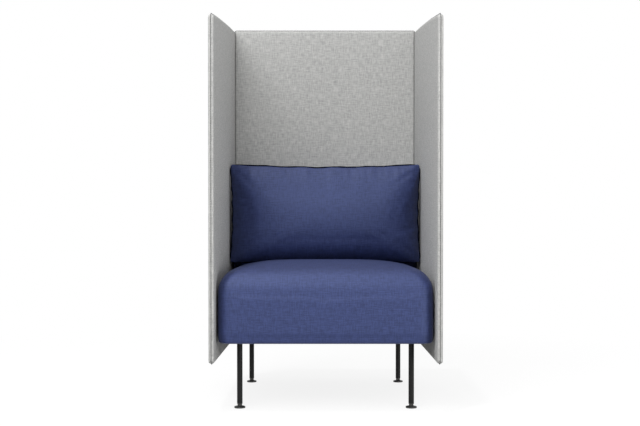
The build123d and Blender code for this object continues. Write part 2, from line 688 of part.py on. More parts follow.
def pillow(inset):
    """The cushion's form: two crowned halves that meet at a seam with drawn-in sides."""
    half_width = INNER_WIDTH / 2 - CUSHION_SIDE_GAP - inset
    seat_surface = SEAT_SHOULDER + crown_height(
        SEAT_REAR - CUSHION_SEAM_Y, SEAT_ROLL, SEAT_CROWN, SEAT_CROWN_REACH
    )
    bottom = seat_surface + CUSHION_LIFT - CUSHION_BOTTOM_PULL + inset
    top = CUSHION_TOP - inset
    thickness = CUSHION_THICKNESS / 2 - inset
    halves = []
    for side in (-1, 1):
        rings = []
        for step in range(CUSHION_RINGS + 1):
            share = (step / CUSHION_RINGS) ** CUSHION_RING_SPREAD
            band = CUSHION_REACH * share
            swell = thickness * (1 - (1 - share) ** CUSHION_SWELL_POWER)
            radius = CUSHION_CORNER + (CUSHION_SWELL_CORNER - CUSHION_CORNER) * math.sqrt(share)
            radius = min(radius, RING_ROUNDNESS * (top - bottom - 2 * band))
            fade = (1 - share) ** 2
            drawn_in = (CUSHION_SIDE_PULL, CUSHION_TOP_PULL, CUSHION_BOTTOM_PULL)
            pulls = [pull * fade - CUSHION_RING_BOW for pull in drawn_in]
            outline = pillow_outline(
                -half_width + band, half_width - band, bottom + band, top - band, radius, pulls
            )
            rings.append(Plane.XZ.offset(-CUSHION_SEAM_Y - side * swell) * outline)
        halves.append(loft(rings, ruled=True))
    return halves[0] + halves[1]


def make_cushion():
    """Filling and cover of the loose back cushion."""
    filling = pillow(CUSHION_COVER)
    pieces["cushion_filling"] = filling
    pieces["cushion_cover"] = pillow(0) - filling


# ---- Everything ----------------------------------------------------------------------------------
def main():
    """Make every piece and write one file for each."""
    bolt_holes = make_screen_bolts()
    dowel_holes = make_dowels()
    make_screens(bolt_holes, dowel_holes)
    make_frame(bolt_holes["rail"])
    make_webbing()
    make_seat_padding(bolt_holes["padding"])
    make_back()
    make_hooks()
    make_cushion()
    make_legs()
    os.makedirs("parts", exist_ok=True)
    for name, piece in pieces.items():
        export_step(piece, f"parts/{name}.step")


main()
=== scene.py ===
"""Looks of a lounge chair inside three tall padded screens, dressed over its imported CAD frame."""
import json
import math

import bmesh
import bpy
import numpy as np
from bpy.props import FloatProperty, FloatVectorProperty, IntProperty, PointerProperty
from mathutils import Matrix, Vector


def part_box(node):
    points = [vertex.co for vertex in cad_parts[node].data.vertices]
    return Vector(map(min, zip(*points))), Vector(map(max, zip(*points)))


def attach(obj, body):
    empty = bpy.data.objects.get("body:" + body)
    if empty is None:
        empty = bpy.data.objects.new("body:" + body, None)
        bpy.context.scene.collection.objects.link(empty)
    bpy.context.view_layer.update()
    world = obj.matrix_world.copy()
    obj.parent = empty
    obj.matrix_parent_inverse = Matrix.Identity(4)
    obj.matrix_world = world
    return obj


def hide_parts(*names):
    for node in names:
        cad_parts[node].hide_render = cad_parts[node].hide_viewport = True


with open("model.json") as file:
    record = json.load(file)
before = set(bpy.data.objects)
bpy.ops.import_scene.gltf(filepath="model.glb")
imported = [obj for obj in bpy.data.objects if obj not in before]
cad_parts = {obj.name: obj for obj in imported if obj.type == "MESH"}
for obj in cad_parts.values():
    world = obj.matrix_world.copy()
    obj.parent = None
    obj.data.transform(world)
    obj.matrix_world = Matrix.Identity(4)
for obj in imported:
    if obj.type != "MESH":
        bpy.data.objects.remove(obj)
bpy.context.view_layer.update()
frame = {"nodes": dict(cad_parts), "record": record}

bl_info = {
    "name": "Screened lounge chair",
    "version": (1, 0, 0),
    "blender": (4, 5, 0),
    "location": "View3D > Sidebar > Chair",
    "description": "Upholstery, finishes and studio for a lounge chair inside padded screens",
    "category": "Object",
}

CHAIR_BODY = "chair"
CUSHION_BODY = "cushion"
WEAVE_UV = "weave"
PIECES_TREE = "pieces_along_a_line"
ROW_INPUTS = ("Pitch", "Length", "Thickness", "Unevenness", "Seed")
TREE_INPUTS = (  # name and kind of socket
    ("Line", "Geometry"),
    ("Pitch", "Float"),
    ("Length", "Float"),
    ("Thickness", "Float"),
    ("Unevenness", "Float"),
    ("Seed", "Int"),
    ("Finish", "Material"),
)
STITCH_UNEVENNESS, STAPLE_UNEVENNESS = 0.08, 0.03  # how much their sizes vary
SHARP = 0.0005  # smallest corner radius of a ring
ARC_STEPS, WIDE_ARC_STEPS = 6, 8  # steps round a small and a wide corner
TOP_STEPS = 24  # steps along a wing's sloping top
EDGE_GAP = 0.0001  # how far before a screen's face its edge roll ends
ROLL_TURN = 75  # degrees that a rolled edge turns before the crown starts
ROLL_STEPS, CROWN_STEPS = 9, 10  # rings over a rolled edge and over a crown
ROUNDEST = 0.45  # largest corner radius, as a share of the shorter side
CLOTH_FRAMES = 20  # frames in which the cloth settles
EDGE_STEPS = (0, 0.05, 0.11, 0.17, 0.25, 0.36, 0.49, 0.62, 0.75, 0.86, 0.95)
LAMPS = (  # name, place, aim, width, watts
    ("high_left_lamp", (-1.6, -2.8, 3.6), (0, 0, 0.7), 2.0, 78.0),
    ("high_front_lamp", (-0.3, -3.6, 2.6), (0, 0, 0.7), 1.0, 30.0),
    ("front_left_lamp", (-2.0, -4.0, 1.4), (0, 0, 0.7), 2.4, 28.0),
    ("low_right_lamp", (2.4, -2.8, 0.5), (0, 0, 0.7), 1.6, 52.0),
)
FOLDS = (  # place (x, z), run (x, z), half length, half width, depth of the cushion's front folds
    (-0.315, 0.700, 1.0, -0.25, 0.045, 0.010, 0.0032),
    (-0.305, 0.665, 1.0, 0.35, 0.035, 0.008, 0.0022),
    (0.318, 0.590, 1.0, 0.30, 0.045, 0.010, 0.0030),
    (-0.300, 0.775, 1.0, -0.8, 0.050, 0.010, 0.0024),
    (0.300, 0.780, -1.0, -0.7, 0.055, 0.011, 0.0026),
    (-0.295, 0.515, 1.0, 0.7, 0.050, 0.011, 0.0028),
    (0.300, 0.510, -1.0, 0.8, 0.045, 0.010, 0.0026),
)
GATHERS = (  # turn in radians a metre, strength, shift by the edge and by the side it is on
    (131, 1.0, 1.7, 1.0),
    (211, 0.7, 2.9, -0.6),
    (307, 0.5, 0.8, 0.0),
)
GATHER_DEPTH, GATHER_REACH = 0.0009, 0.045  # of the small gathers along the cushion's seam
WAIST = 0.25  # height of the fullest part of the seat's front, as a share of its upright side
FRONT_FOOT = 0.8  # share of the front's bulge that is left at the seat's lower edge
SIDE_STEPS = 12  # rings up the seat's upright sides
HEM_TUCK = 0.002  # how far the cloth is drawn in at the seat's lower edge
SEAT_SHRINK = 0.004  # how far inside its box the seat's cloth starts
HELD_HEM, HELD_REAR = 0.03, 0.02  # bands of the seat's cloth that are fixed
FRONT_SLACK = 0.002  # how far past its bulge the seat's front may swell
UNDERSIDE, REAR_SKIN = 0.003, 0.002  # how near the lower edge and the rear cloth counts as hidden
CUSHION_RINGS = 10  # rings from the cushion's seam to its middle
RING_CROWDING = 1.35  # power by which they crowd towards the seam
START_FILL = 0.9  # share of its thickness that the cushion has before it swells
FULLNESS = 2.4  # how steeply the cushion thickens from its seam
WIDE_CORNER = 0.07  # corner radius of the cushion's innermost ring
RUN_STEPS = 48  # steps along one of the cushion's edges
PUCKER_TURN = 34  # radians of unevenness over that edge
FRONT_FILL, REAR_FILL = 0.008, 0.004  # how far past its solid the cushion may swell
KNIFE_EDGE = 0.6  # power by which the cloth narrows to the seam
CREASE_EASE = 0.03  # distance from the seam over which folds grow to their depth
SEAM_CELLS = 0.6  # half width of the held seam, in cells of the cloth's grid
SEAM_REACH = 0.006  # how near the seam its line is looked for
SEAM_STEPS, SEAM_WINDOW = 320, 1.4  # points round that line, and how far each one looks aside
STITCH_FRONT = 0.9  # how far before the seam its stitches lie, as a share of the roll's radius
SEAM_SMOOTHING = 6  # passes that even out the cushion's seam line
SEAM_PAINTED_SHADE = 0.06  # painted shade: how dark the rolled seam's cloth is beside the open cloth, standing for the shade in the tight seam
SEAM_EASE = 0.035  # distance from the cushion's seam over which the cloth starts to move freely
PUCKER = 0.16  # unevenness of the cushion's drawn-in edges
SINKING = 0.1  # share of an inward move that firm padding allows
SLIDING = 0.4  # share of a move along the surface that it allows

LINING_GAP, LINING_THICKNESS = 0.0004, 0.0005  # below its solid's top, and of its cloth
LINING_SAG, LINING_RIPPLE = 0.0003, 0.00025
STAPLE_INSET, STAPLE_LIFT = 0.008, 0.0001  # from the lining's edge, and above its underside
STAPLE_LINE_STEP = 0.02
FLOOR_RINGS = ((0.6, 0), (1.5, 0), (4, 0), (12, 0), (30, 0), (36, 0.4))  # radius, height
FLOOR_FADE = 1.3, 2.4  # distances between which the floor turns plain white
FLOOR_WHITE = 0.84  # how much of the floor is plain white near the chair
FLOOR_DROP = 0.0002  # how far the floor lies below the feet
OVERHEAD_PLACE, OVERHEAD_RUN = (-0.5, -0.5, 4), (0.15, 0.185, -1)


# ---- Settings a user would change ---------------------------------------------------------------
def size(name, description, default):
    """A length in metres."""
    return FloatProperty(
        name=name, description=description, default=default, unit="LENGTH", precision=4
    )


def number(name, description, default):
    """A plain number."""
    return FloatProperty(name=name, description=description, default=default)


def colour(name, description, default):
    """A linear colour."""
    return FloatVectorProperty(
        name=name, description=description, default=default, subtype="COLOR", min=0, max=1
    )


class ScreenSettings(bpy.types.PropertyGroup):
    """Form and cloth of the three screens."""

    top_front: size("Front top", "Height of a wing's top at its front edge", 1.254)
    top_rear: size("Rear top", "Height of a wing's top at the back screen", 1.357)
    top_bow: size("Top bow", "How far a wing's sloping top bows up", 0.005)
    front_radius: size("Front corner", "Corner radius at a wing's front", 0.015)
    rear_radius: size("Rear corner", "Corner radius at a wing's rear", 0.012)
    back_radius: size("Back corner", "Corner radius of the back screen", 0.005)
    edge_radius: size("Edge roll", "How far the cloth rolls over a screen's edge", 0.0066)
    seam_rise: size("Seam rise", "Height of the sewn ridge where the two skins meet", 0.0034)
    seam_width: size("Seam width", "Half width of that ridge", 0.0012)
    pale: colour("Pale yarn", "Lightest yarn of the grey cloth", (0.53, 0.53, 0.515))
    dark: colour("Dark yarn", "Darkest yarn of the grey cloth", (0.29, 0.29, 0.287))
    slub: size("Slub length", "Length of a thick place in the yarn", 0.026)
    # Painted shade: the sewn ridge's cloth is the grey cloth darkened, standing for the shade along
    # the seam.
    seam_painted_shade: number("Seam shade", "Shade of the sewn ridge", 0.12)


class SeatSettings(bpy.types.PropertyGroup):
    """Form of the padded seat and the low back."""

    shoulder: size("Shoulder", "Height at which the upright sides start to roll over", 0.385)
    roll: size("Roll", "Radius of the seat's rolled edge", 0.075)
    crown: size("Crown", "Rise of the seat's middle above its rolled edge", 0.0206)
    crown_reach: size("Crown reach", "Width of the band over which the crown rises", 0.165)
    corner: size("Corner", "Plan radius of the seat's corners", 0.032)
    rear: size("Rear face", "Place of the seat's rear face along Y", 0.221)
    hem: size("Hem", "Width of the hem turned under the seat frame", 0.03)
    voxel: size("Cloth grid", "Spacing of the seat's cloth before subdivision", 0.0068)
    front_bulge: size("Front bulge", "How far the middle of the front stands forward", 0.040)
    swell: size("Swell", "Furthest that the padding pushes the cloth out", 0.002)
    pressure: number("Pressure", "Push of the padding", 3.0)


class BackSettings(bpy.types.PropertyGroup):
    """Form of the low padded back behind the cushion."""

    roll: size("Roll", "Radius of the low back's rolled edge", 0.04)
    crown: size("Crown", "Rise of the low back's middle", 0.014)
    crown_reach: size("Crown reach", "Width of the band over which the crown rises", 0.1)
    corner: size("Corner", "Corner radius of the low back", 0.045)
    voxel: size("Cloth grid", "Spacing of the low back's cloth before subdivision", 0.006)


class CushionSettings(bpy.types.PropertyGroup):
    """Form of the loose cushion."""

    seam_plane: size("Seam plane", "Place of the cushion's seam along Y", 0.131)
    corner: size("Corner", "Radius at the tips of the cushion's corners", 0.009)
    side_pull: size("Side pull", "How far the sides are drawn in between the corners", 0.009)
    top_pull: size("Top pull", "How far the top edge is drawn in", 0.011)
    bottom_pull: size("Bottom pull", "How far the lower edge is drawn in", 0.009)
    reach: size("Swell band", "Width of the band from the seam to full thickness", 0.15)
    voxel: size("Cloth grid", "Spacing of the cushion's cloth before subdivision", 0.005)
    swell: size("Swell", "Furthest that the filling pushes the cloth out", 0.024)
    pressure: number("Pressure", "Push of the filling", 4.0)
    seam_roll: size("Seam roll", "Radius of the rolled seam on the knife edge", 0.003)
    slump: size("Slump", "How far the filling has settled towards the bottom", 0.032)
    lean: size("Lean", "How far the filling has moved to the right", 0.02)
    pinch: size("Pinch", "Half width of the band that narrows to the knife edge", 0.006)


class ClothSettings(bpy.types.PropertyGroup):
    """Blue cloth of the seat, the low back and the cushion."""

    warp: colour("Warp", "Blue cloth's lighter yarn", (0.029, 0.040, 0.120))
    weft: colour("Weft", "Blue cloth's darker yarn", (0.0105, 0.015, 0.050))
    thread: size("Thread", "Spacing of the blue cloth's threads", 0.0016)


class StitchSettings(bpy.types.PropertyGroup):
    """Stitches and staples."""

    pitch: size("Pitch", "Distance from stitch to stitch", 0.0055)
    length: size("Length", "Length of one stitch", 0.0038)
    thread: size("Thread", "Thickness of the sewing thread", 0.0007)
    staple_pitch: size("Staple pitch", "Distance from staple to staple", 0.034)
    staple_length: size("Staple", "Width of a staple's crown", 0.0105)
    staple_wire: size("Staple wire", "Thickness of a staple's wire", 0.0011)
    seed: IntProperty(name="Seed", description="Seed of the stitches' unevenness", default=7)


class StudioSettings(bpy.types.PropertyGroup):
    """Camera, floor and lamps."""

    camera_x: size("Camera X", "Camera place across", -0.01422)
    camera_y: size("Camera Y", "Camera place in front", -3.511)
    camera_z: size("Camera height", "Camera height above the floor", 0.57493)
    tilt: number("Tilt", "Camera tilt below the horizon, degrees", 0.8)
    lens: number("Lens", "Focal length on a 36 mm sensor", 55.978)
    shift_x: number("Shift X", "Sideways lens shift", -0.00182)
    shift_y: number("Shift Y", "Upward lens shift", 0.05091)
    room: number("Room light", "Strength of the even room light", 0.84)
    lamps: number("Lamps", "Strength of the soft lamps", 1.0)
    top: number("Top", "Strength of the lamp overhead", 0.7)
    top_turn: number("Top softness", "Angle of the lamp overhead", 2.0)


class ChairSettings(bpy.types.PropertyGroup):
    """All settings of the chair."""

    screens: PointerProperty(type=ScreenSettings)
    seat: PointerProperty(type=SeatSettings)
    back: PointerProperty(type=BackSettings)
    cushion: PointerProperty(type=CushionSettings)
    cloth: PointerProperty(type=ClothSettings)
    stitches: PointerProperty(type=StitchSettings)
    studio: PointerProperty(type=StudioSettings)


# ---- Shader maths -------------------------------------------------------------------------------
class Value:
    """A number from a shader socket that takes part in Python arithmetic."""

    def __init__(self, graph, socket):
        self.graph, self.socket = graph, socket

    def _math(self, operation, *numbers):
        inputs = dict(enumerate(numbers))
        return self.graph.value("ShaderNodeMath", {"operation": operation}, inputs)

    def __add__(self, other):
        return self._math("ADD", self, other)

    def __radd__(self, other):
        return self._math("ADD", other, self)

    def __sub__(self, other):
        return self._math("SUBTRACT", self, other)

    def __rsub__(self, other):
        return self._math("SUBTRACT", other, self)

    def __mul__(self, other):
        return self._math("MULTIPLY", self, other)

    def __rmul__(self, other):
        return self._math("MULTIPLY", other, self)

    def sine(self):
        """Sine of the value, in radians."""
        return self._math("SINE", self)

    def clamped(self):
        """The value held between 0 and 1."""
        return self.graph.value(
            "ShaderNodeMath", {"operation": "ADD", "use_clamp": True}, {0: self, 1: 0.0}
        )


class Tree:
    """A node tree, and the one way in which nodes are added to it."""

    def __init__(self, tree):
        self.tree = tree
        tree.nodes.clear()

    def add(self, kind, settings=None, inputs=None):
        """A node: its settings are set first, and then the values or links of its sockets."""
        node = self.tree.nodes.new(kind)
        for name, setting in (settings or {}).items():
            setattr(node, name, setting)
        for key, given in (inputs or {}).items():
            if isinstance(given, Value):
                given = given.socket
            if isinstance(given, bpy.types.NodeSocket):
                self.tree.links.new(given, node.inputs[key])
            else:
                node.inputs[key].default_value = given
        return node


class Graph(Tree):
    """A new material and the nodes in it."""

    def __init__(self, name):
        self.material = bpy.data.materials.new(name)
        self.material.use_nodes = True
        super().__init__(self.material.node_tree)

    def value(self, kind, settings, inputs, output=0):
        """A node's output as a number that takes part in arithmetic."""
        return Value(self, self.add(kind, settings, inputs).outputs[output])

    def mix(self, share, first, second):
        """Two colours mixed by a share."""
        node = self.add(
            "ShaderNodeMix", {"data_type": "RGBA"}, {0: share, 6: first, 7: second}
        )
        return node.outputs[2]

    def noise(self, place, scale, detail=3.0, roughness=0.55):
        """Smooth noise from 0 to 1 at a place."""
        inputs = {"Vector": place, "Scale": scale, "Detail": detail, "Roughness": roughness}
        return self.value("ShaderNodeTexNoise", {}, inputs)

    def stretched(self, place, scale):
        """A place scaled by its own amount along each axis."""
        return self.add("ShaderNodeMapping", {}, {"Vector": place, "Scale": scale}).outputs[0]

    def spread(self, number, low, high):
        """A number stretched so that low becomes 0 and high becomes 1, held in between."""
        inputs = {"Value": number, "From Min": low, "From Max": high}
        return self.value("ShaderNodeMapRange", {"clamp": True}, inputs)

    def bump(self, height, distance, strength=1.0):
        """A normal from a height."""
        inputs = {"Height": height, "Distance": distance, "Strength": strength}
        return self.add("ShaderNodeBump", {}, inputs).outputs[0]

    def place(self):
        """Where a point is on its object."""
        return self.add("ShaderNodeTexCoord").outputs["Object"]

    def weave(self):
        """Where a point is on its cloth."""
        return self.add("ShaderNodeUVMap", {"uv_map": WEAVE_UV}).outputs[0]

    def threads(self, place, turn):
        """Waves along the first and second axis of a place."""
        axes = self.add("ShaderNodeSeparateXYZ", {}, {0: place}).outputs
        return (Value(self, axes[0]) * turn).sine(), (Value(self, axes[1]) * turn).sine()

    def ending(self, shader):
        """End the graph with a shader; returns the material."""
        self.add("ShaderNodeOutputMaterial", {}, {"Surface": shader.outputs[0]})
        return self.material

    def finish(self, base, roughness, normal, more=None):
        """End the graph with a surface; returns the material."""
        inputs = {"Base Color": base, "Roughness": roughness, "Normal": normal, **(more or {})}
        return self.ending(self.add("ShaderNodeBsdfPrincipled", {}, inputs))


def grey(level):
    """A neutral colour."""
    return (level, level, level, 1.0)


def opaque(rgb, gain=1.0):
    """A setting's colour as four numbers."""
    return (*(channel * gain for channel in rgb), 1.0)


# ---- Cloths and finishes ------------------------------------------------------------------------
def yarn_pattern(graph, uv, thread):
    """Plain weave: the height of the cloth, and 1 where the warp lies on top."""
    warp, weft = graph.threads(uv, math.pi / thread)
    return warp * warp * 0.5 + weft * weft * 0.5, graph.spread(warp * weft, -0.5, 0.5)


def slubs(graph, uv, along, fine):
    """Thick places in the yarn, along each of the two threads."""
    runs = (along, fine, 1), (fine, along, 1)
    return [graph.noise(graph.stretched(uv, run), 1.0) for run in runs]


def grey_cloth(settings, name, shade):
    """Coarse mottled grey cloth, its slubs crossing along both threads; a shade below 1 makes a
    darker copy as painted shade.
    """
    graph = Graph(name)
    uv = graph.weave()
    level, upright = slubs(graph, uv, 1 / settings.slub, 1 / 0.0036)
    fibre = graph.noise(uv, 420.0, detail=4.0, roughness=0.7)
    broad = graph.noise(uv, 9.0, detail=2.0)
    height, over = yarn_pattern(graph, uv, 0.0024)
    mottle = level * 0.4 + upright * 0.4 + fibre * 0.2
    share = graph.spread(mottle + (over - 0.5) * 0.1, 0.38, 0.62)
    yarn = graph.mix(share, opaque(settings.dark, shade), opaque(settings.pale, shade))
    faded = graph.spread(broad, 0.3, 0.7) * 0.14
    return graph.finish(
        graph.mix(faded, yarn, opaque(settings.pale, 0.82 * shade)),
        0.86 + 0.1 * fibre,
        graph.bump(mottle * 0.6 + height * 0.4, 0.0011, 0.6),
        {"Sheen Weight": 0.06, "Sheen Roughness": 0.6, "Specular IOR Level": 0.2},
    )


def blue_cloth(settings, name, shade=1.0):
    """Fine two-tone blue cloth with a soft sheen; a shade below 1 makes a darker copy as painted
    shade.
    """
    graph = Graph(name)
    warp, weft = opaque(settings.warp, shade), opaque(settings.weft, shade)
    uv = graph.weave()
    height, over = yarn_pattern(graph, uv, settings.thread)
    fibre = graph.noise(uv, 560.0, detail=4.0, roughness=0.7)
    level, upright = slubs(graph, uv, 36, 260)
    broad = graph.noise(uv, 5.5, detail=3.0)
    share = over * 0.12 + level * 0.38 + upright * 0.38 + fibre * 0.12
    yarn = graph.mix(graph.spread(share, 0.4, 0.6), weft, warp)
    shaded = graph.mix(graph.spread(broad, 0.3, 0.7) * 0.15, yarn, warp)
    relief = height * 0.4 + fibre * 0.2 + level * 0.2 + upright * 0.2
    return graph.finish(
        shaded,
        0.5 + 0.08 * fibre,
        graph.bump(relief, 0.0004, 0.4),
        {
            "Sheen Weight": 0.03,
            "Sheen Roughness": 0.45,
            "Sheen Tint": (0.55, 0.64, 1.0, 1.0),
            "Specular IOR Level": 0.7 * shade,
            "Specular Tint": (0.5, 0.6, 1.0, 1.0),
        },
    )


def blue_upholstery(context):
    """The blue cloth as it lies on the padding, made once."""
    name = "blue_upholstery_cloth"
    return bpy.data.materials.get(name) or blue_cloth(context.scene.chair.cloth, name)


def blue_seam_in_painted_shade(context):
    """The blue cloth darkened as painted shade, for the rolled seam."""
    return blue_cloth(context.scene.chair.cloth, "blue_seam_painted_shade_cloth", SEAM_PAINTED_SHADE)


def sewing_thread(name, rgb):
    """Twisted sewing thread."""
    graph = Graph(name)
    place = graph.place()
    twist = graph.noise(place, 1600.0, detail=2.0)
    base = graph.mix(twist, opaque(rgb, 0.75), opaque(rgb, 1.15))
    return graph.finish(base, 0.6 + 0.2 * twist, graph.bump(twist, 0.0003))


def timber():
    """Pale softwood and birch board with long grain."""
    graph = Graph("pale_timber")
    place = graph.place()
    warped = graph.noise(graph.stretched(place, (2.2, 2.2, 26)), 1.0, detail=4.0)
    rings = (warped * 42.0).sine() * 0.5 + 0.5
    pore = graph.noise(graph.stretched(place, (60, 60, 600)), 1.0)
    share = rings * 0.6 + pore * 0.4
    base = graph.mix(share, (0.60, 0.43, 0.26, 1), (0.42, 0.27, 0.14, 1))
    return graph.finish(base, 0.6 + 0.15 * pore, graph.bump(share, 0.0006))


def pressed_board():
    """Pressed fibre board of the screens' cores."""
    graph = Graph("pressed_fibre_board")
    place = graph.place()
    chip = graph.noise(place, 300.0, detail=5.0, roughness=0.7)
    base = graph.mix(chip, (0.30, 0.21, 0.12, 1), (0.50, 0.38, 0.24, 1))
    return graph.finish(base, 0.85, graph.bump(chip, 0.0008))


def foam():
    """Open-cell upholstery foam and fleece."""
    graph = Graph("open_cell_foam")
    place = graph.place()
    cell = graph.value("ShaderNodeTexVoronoi", {}, {"Vector": place, "Scale": 700.0})
    broad = graph.noise(place, 14.0)
    base = graph.mix(broad, (0.78, 0.74, 0.60, 1), (0.86, 0.83, 0.72, 1))
    return graph.finish(base, 0.92, graph.bump(cell, 0.0008))


def elastic_belt():
    """Ribbed elastic webbing."""
    graph = Graph("elastic_webbing")
    place = graph.place()
    lines, cross = graph.threads(place, 1500.0)
    rib = lines * cross * 0.5 + 0.5
    fuzz = graph.noise(place, 500.0)
    base = graph.mix(rib * 0.6 + fuzz * 0.4, grey(0.03), (0.15, 0.13, 0.12, 1))
    return graph.finish(base, 0.8 + 0.1 * fuzz, graph.bump(rib, 0.0006))


def lining_cloth():
    """Black non-woven lining."""
    graph = Graph("black_lining_cloth")
    place = graph.place()
    fibre = graph.noise(place, 420.0, detail=5.0, roughness=0.8)
    dimple = graph.value("ShaderNodeTexVoronoi", {}, {"Vector": place, "Scale": 380.0})
    base = graph.mix(fibre, grey(0.018), grey(0.05))
    relief = dimple * 0.7 + fibre * 0.3
    return graph.finish(base, 0.82 + 0.1 * fibre, graph.bump(relief, 0.0005))


def powder_coat():
    """Black powder coat with its fine orange-peel skin and slightly paler rub marks."""
    graph = Graph("black_powder_coat")
    place = graph.place()
    peel = graph.noise(place, 900.0, detail=2.0)
    rub = graph.noise(place, 38.0, detail=5.0, roughness=0.7)
    mark = graph.spread(rub, 0.56, 0.78)
    base = graph.mix(mark * 0.5, grey(0.008), grey(0.02))
    return graph.finish(
        base,
        0.42 + 0.12 * rub,
        graph.bump(peel, 0.00025, 0.5),
        {"Coat Weight": 0.01 + 0.03 * mark, "Coat Roughness": 0.35, "Specular IOR Level": 0.16},
    )


def zinc(name, haze_scale, run, colours, metallic, roughness, strength):
    """Plated steel: hazy, with fine marks along a run."""
    graph = Graph(name)
    place = graph.place()
    haze = graph.noise(place, haze_scale, detail=4.0)
    marks = graph.noise(graph.stretched(place, run), 1.0)
    return graph.finish(
        graph.mix(haze, *colours),
        roughness[0] + roughness[1] * marks,
        graph.bump(marks, 0.0002, strength),
        {"Metallic": metallic[0] + metallic[1] * haze},
    )


def black_zinc():
    """Dark passivated steel of the levelling stems."""
    colours = grey(0.035), (0.085, 0.08, 0.072, 1)
    return zinc("black_zinc_steel", 260.0, (90, 90, 2400), colours, (0.7, 0.2), (0.32, 0.2), 0.5)


def bright_zinc():
    """Bright zinc-plated steel of screws, bolts, nuts and hooks."""
    colours = (0.48, 0.48, 0.46, 1), (0.64, 0.63, 0.6, 1)
    run = (1500, 160, 160)
    return zinc("bright_zinc_steel", 240.0, run, colours, (0.92, 0.06), (0.28, 0.22), 0.4)


def moulded_nylon():
    """Black moulded nylon of the foot pads, plugs and spacers."""
    graph = Graph("black_moulded_nylon")
    place = graph.place()
    grain = graph.noise(place, 1300.0, detail=3.0)
    scuff = graph.noise(place, 70.0, detail=5.0, roughness=0.75)
    mark = graph.spread(scuff, 0.55, 0.8)
    base = graph.mix(mark * 0.6, grey(0.016), grey(0.055))
    return graph.finish(base, 0.5 + 0.2 * mark, graph.bump(grain, 0.0003, 0.6))


def pale_floor():
    """White floor that keeps the chair's pale shadow near it and is pure white further off."""
    graph = Graph("white_studio_floor")
    place = graph.place()
    reach = graph.value("ShaderNodeVectorMath", {"operation": "LENGTH"}, {0: place}, output=1)
    seen = graph.add("ShaderNodeLightPath")
    shown = (
        Value(graph, seen.outputs["Is Camera Ray"])
        + Value(graph, seen.outputs["Is Glossy Ray"])
        + Value(graph, seen.outputs["Is Transmission Ray"])
    ).clamped()
    far = graph.spread(reach, *FLOOR_FADE)
    speck = graph.noise(place, 60.0)
    bounced = seen.outputs["Is Diffuse Ray"]
    base = graph.mix(bounced, graph.mix(speck, grey(0.76), grey(0.8)), grey(0.3))
    matt = graph.add("ShaderNodeBsdfDiffuse", {}, {"Color": base, "Roughness": 0.3})
    glow = graph.add("ShaderNodeEmission", {}, {"Color": grey(1.0), "Strength": 1.0})
    share = shown * (FLOOR_WHITE + (1 - FLOOR_WHITE) * far)
    both = {0: share, 1: matt.outputs[0], 2: glow.outputs[0]}
    return graph.ending(graph.add("ShaderNodeMixShader", {}, both))


# ---- Outlines and rings -------------------------------------------------------------------------
def corner_arc(centre, radius, start, end, steps):
    """Points on an arc, both ends included, angles in degrees."""
    for i in range(steps + 1):
        angle = math.radians(start + (end - start) * i / steps)
        yield centre[0] + radius * math.cos(angle), centre[1] + radius * math.sin(angle)


def evenly_divided(points, spacing):
    """A closed line whose long runs are divided."""
    divided = []
    for here, there in zip(points, points[1:] + points[:1]):
        run = math.dist(here, there)
        parts = max(1, round(run / spacing)) if run > 2 * spacing else 1
        for i in range(parts):
            share = i / parts
            divided.append(tuple(a + (b - a) * share for a, b in zip(here, there)))
    return divided


def wing_line(settings, low, high, inset):
    """A wing's outline in (Y, Z) at an inset from its edge."""
    front, rear, bottom = low[0] + inset, high[0] - inset, low[1] + inset
    top_front, top_rear = settings.top_front - inset, settings.top_rear - inset
    slope = math.degrees(math.atan2(top_rear - top_front, rear - front))
    large = max(settings.front_radius - inset, SHARP)
    small = max(settings.rear_radius - inset, SHARP)
    line = list(corner_arc((rear - small, bottom + small), small, -90, 0, ARC_STEPS))
    drop = small * math.tan(math.radians((90 + slope) / 2))
    line += corner_arc((rear - small, top_rear - drop), small, 0, 90 + slope, ARC_STEPS)
    start = line[-1]
    rise = large * math.tan(math.radians((90 - slope) / 2))
    centre = (front + large, top_front - rise)
    arc = list(corner_arc(centre, large, 90 + slope, 180, WIDE_ARC_STEPS))
    for i in range(1, TOP_STEPS):
        share = i / TOP_STEPS
        bow = 4 * share * (1 - share) * settings.top_bow
        y = start[0] + (arc[0][0] - start[0]) * share
        line.append((y, start[1] + (arc[0][1] - start[1]) * share + bow))
    line += arc
    line += corner_arc((front + large, bottom + large), large, 180, 270, WIDE_ARC_STEPS)
    return line


def rounded_box(left, right, bottom, top, radius, steps):
    """A rectangle with round corners, from its lower right corner anticlockwise."""
    left, right, bottom, top = left + radius, right - radius, bottom + radius, top - radius
    line = []
    for turn, centre in enumerate(((right, bottom), (right, top), (left, top), (left, bottom))):
        line += corner_arc(centre, radius, 90 * turn - 90, 90 * turn, steps)
    return line


def back_line(settings, low, high, inset):
    """The back screen's outline in (X, Z) at an inset from its edge."""
    sides = low[0] + inset, high[0] - inset, low[1] + inset, high[1] - inset
    return rounded_box(*sides, max(settings.back_radius - inset, SHARP), ARC_STEPS)


def rounded_ring(width, length, radius):
    """A rectangle with round corners about the origin."""
    sides = -width / 2, width / 2, -length / 2, length / 2
    return rounded_box(*sides, radius, WIDE_ARC_STEPS)


def quads(rows, columns, round_rows=False, round_columns=True):
    """Faces that join a grid of points from row to row."""
    for i in range(rows if round_rows else rows - 1):
        here, there = i * columns, (i + 1) % rows * columns
        for j in range(columns if round_columns else columns - 1):
            k = (j + 1) % columns
            yield here + j, there + j, there + k, here + k


def mesh_from_rings(name, rings):
    """A closed mesh through rings of equal counts, both ends capped, faces outward."""
    form = bmesh.new()
    rows = [[form.verts.new(point) for point in ring] for ring in rings]
    for row, following in zip(rows, rows[1:]):
        for i in range(len(row)):
            j = (i + 1) % len(row)
            form.faces.new((row[i], row[j], following[j], following[i]))
    form.faces.new(rows[0][::-1])
    form.faces.new(rows[-1])
    bmesh.ops.recalc_face_normals(form, faces=form.faces)
    mesh = bpy.data.meshes.new(name)
    form.to_mesh(mesh)
    form.free()
    return mesh


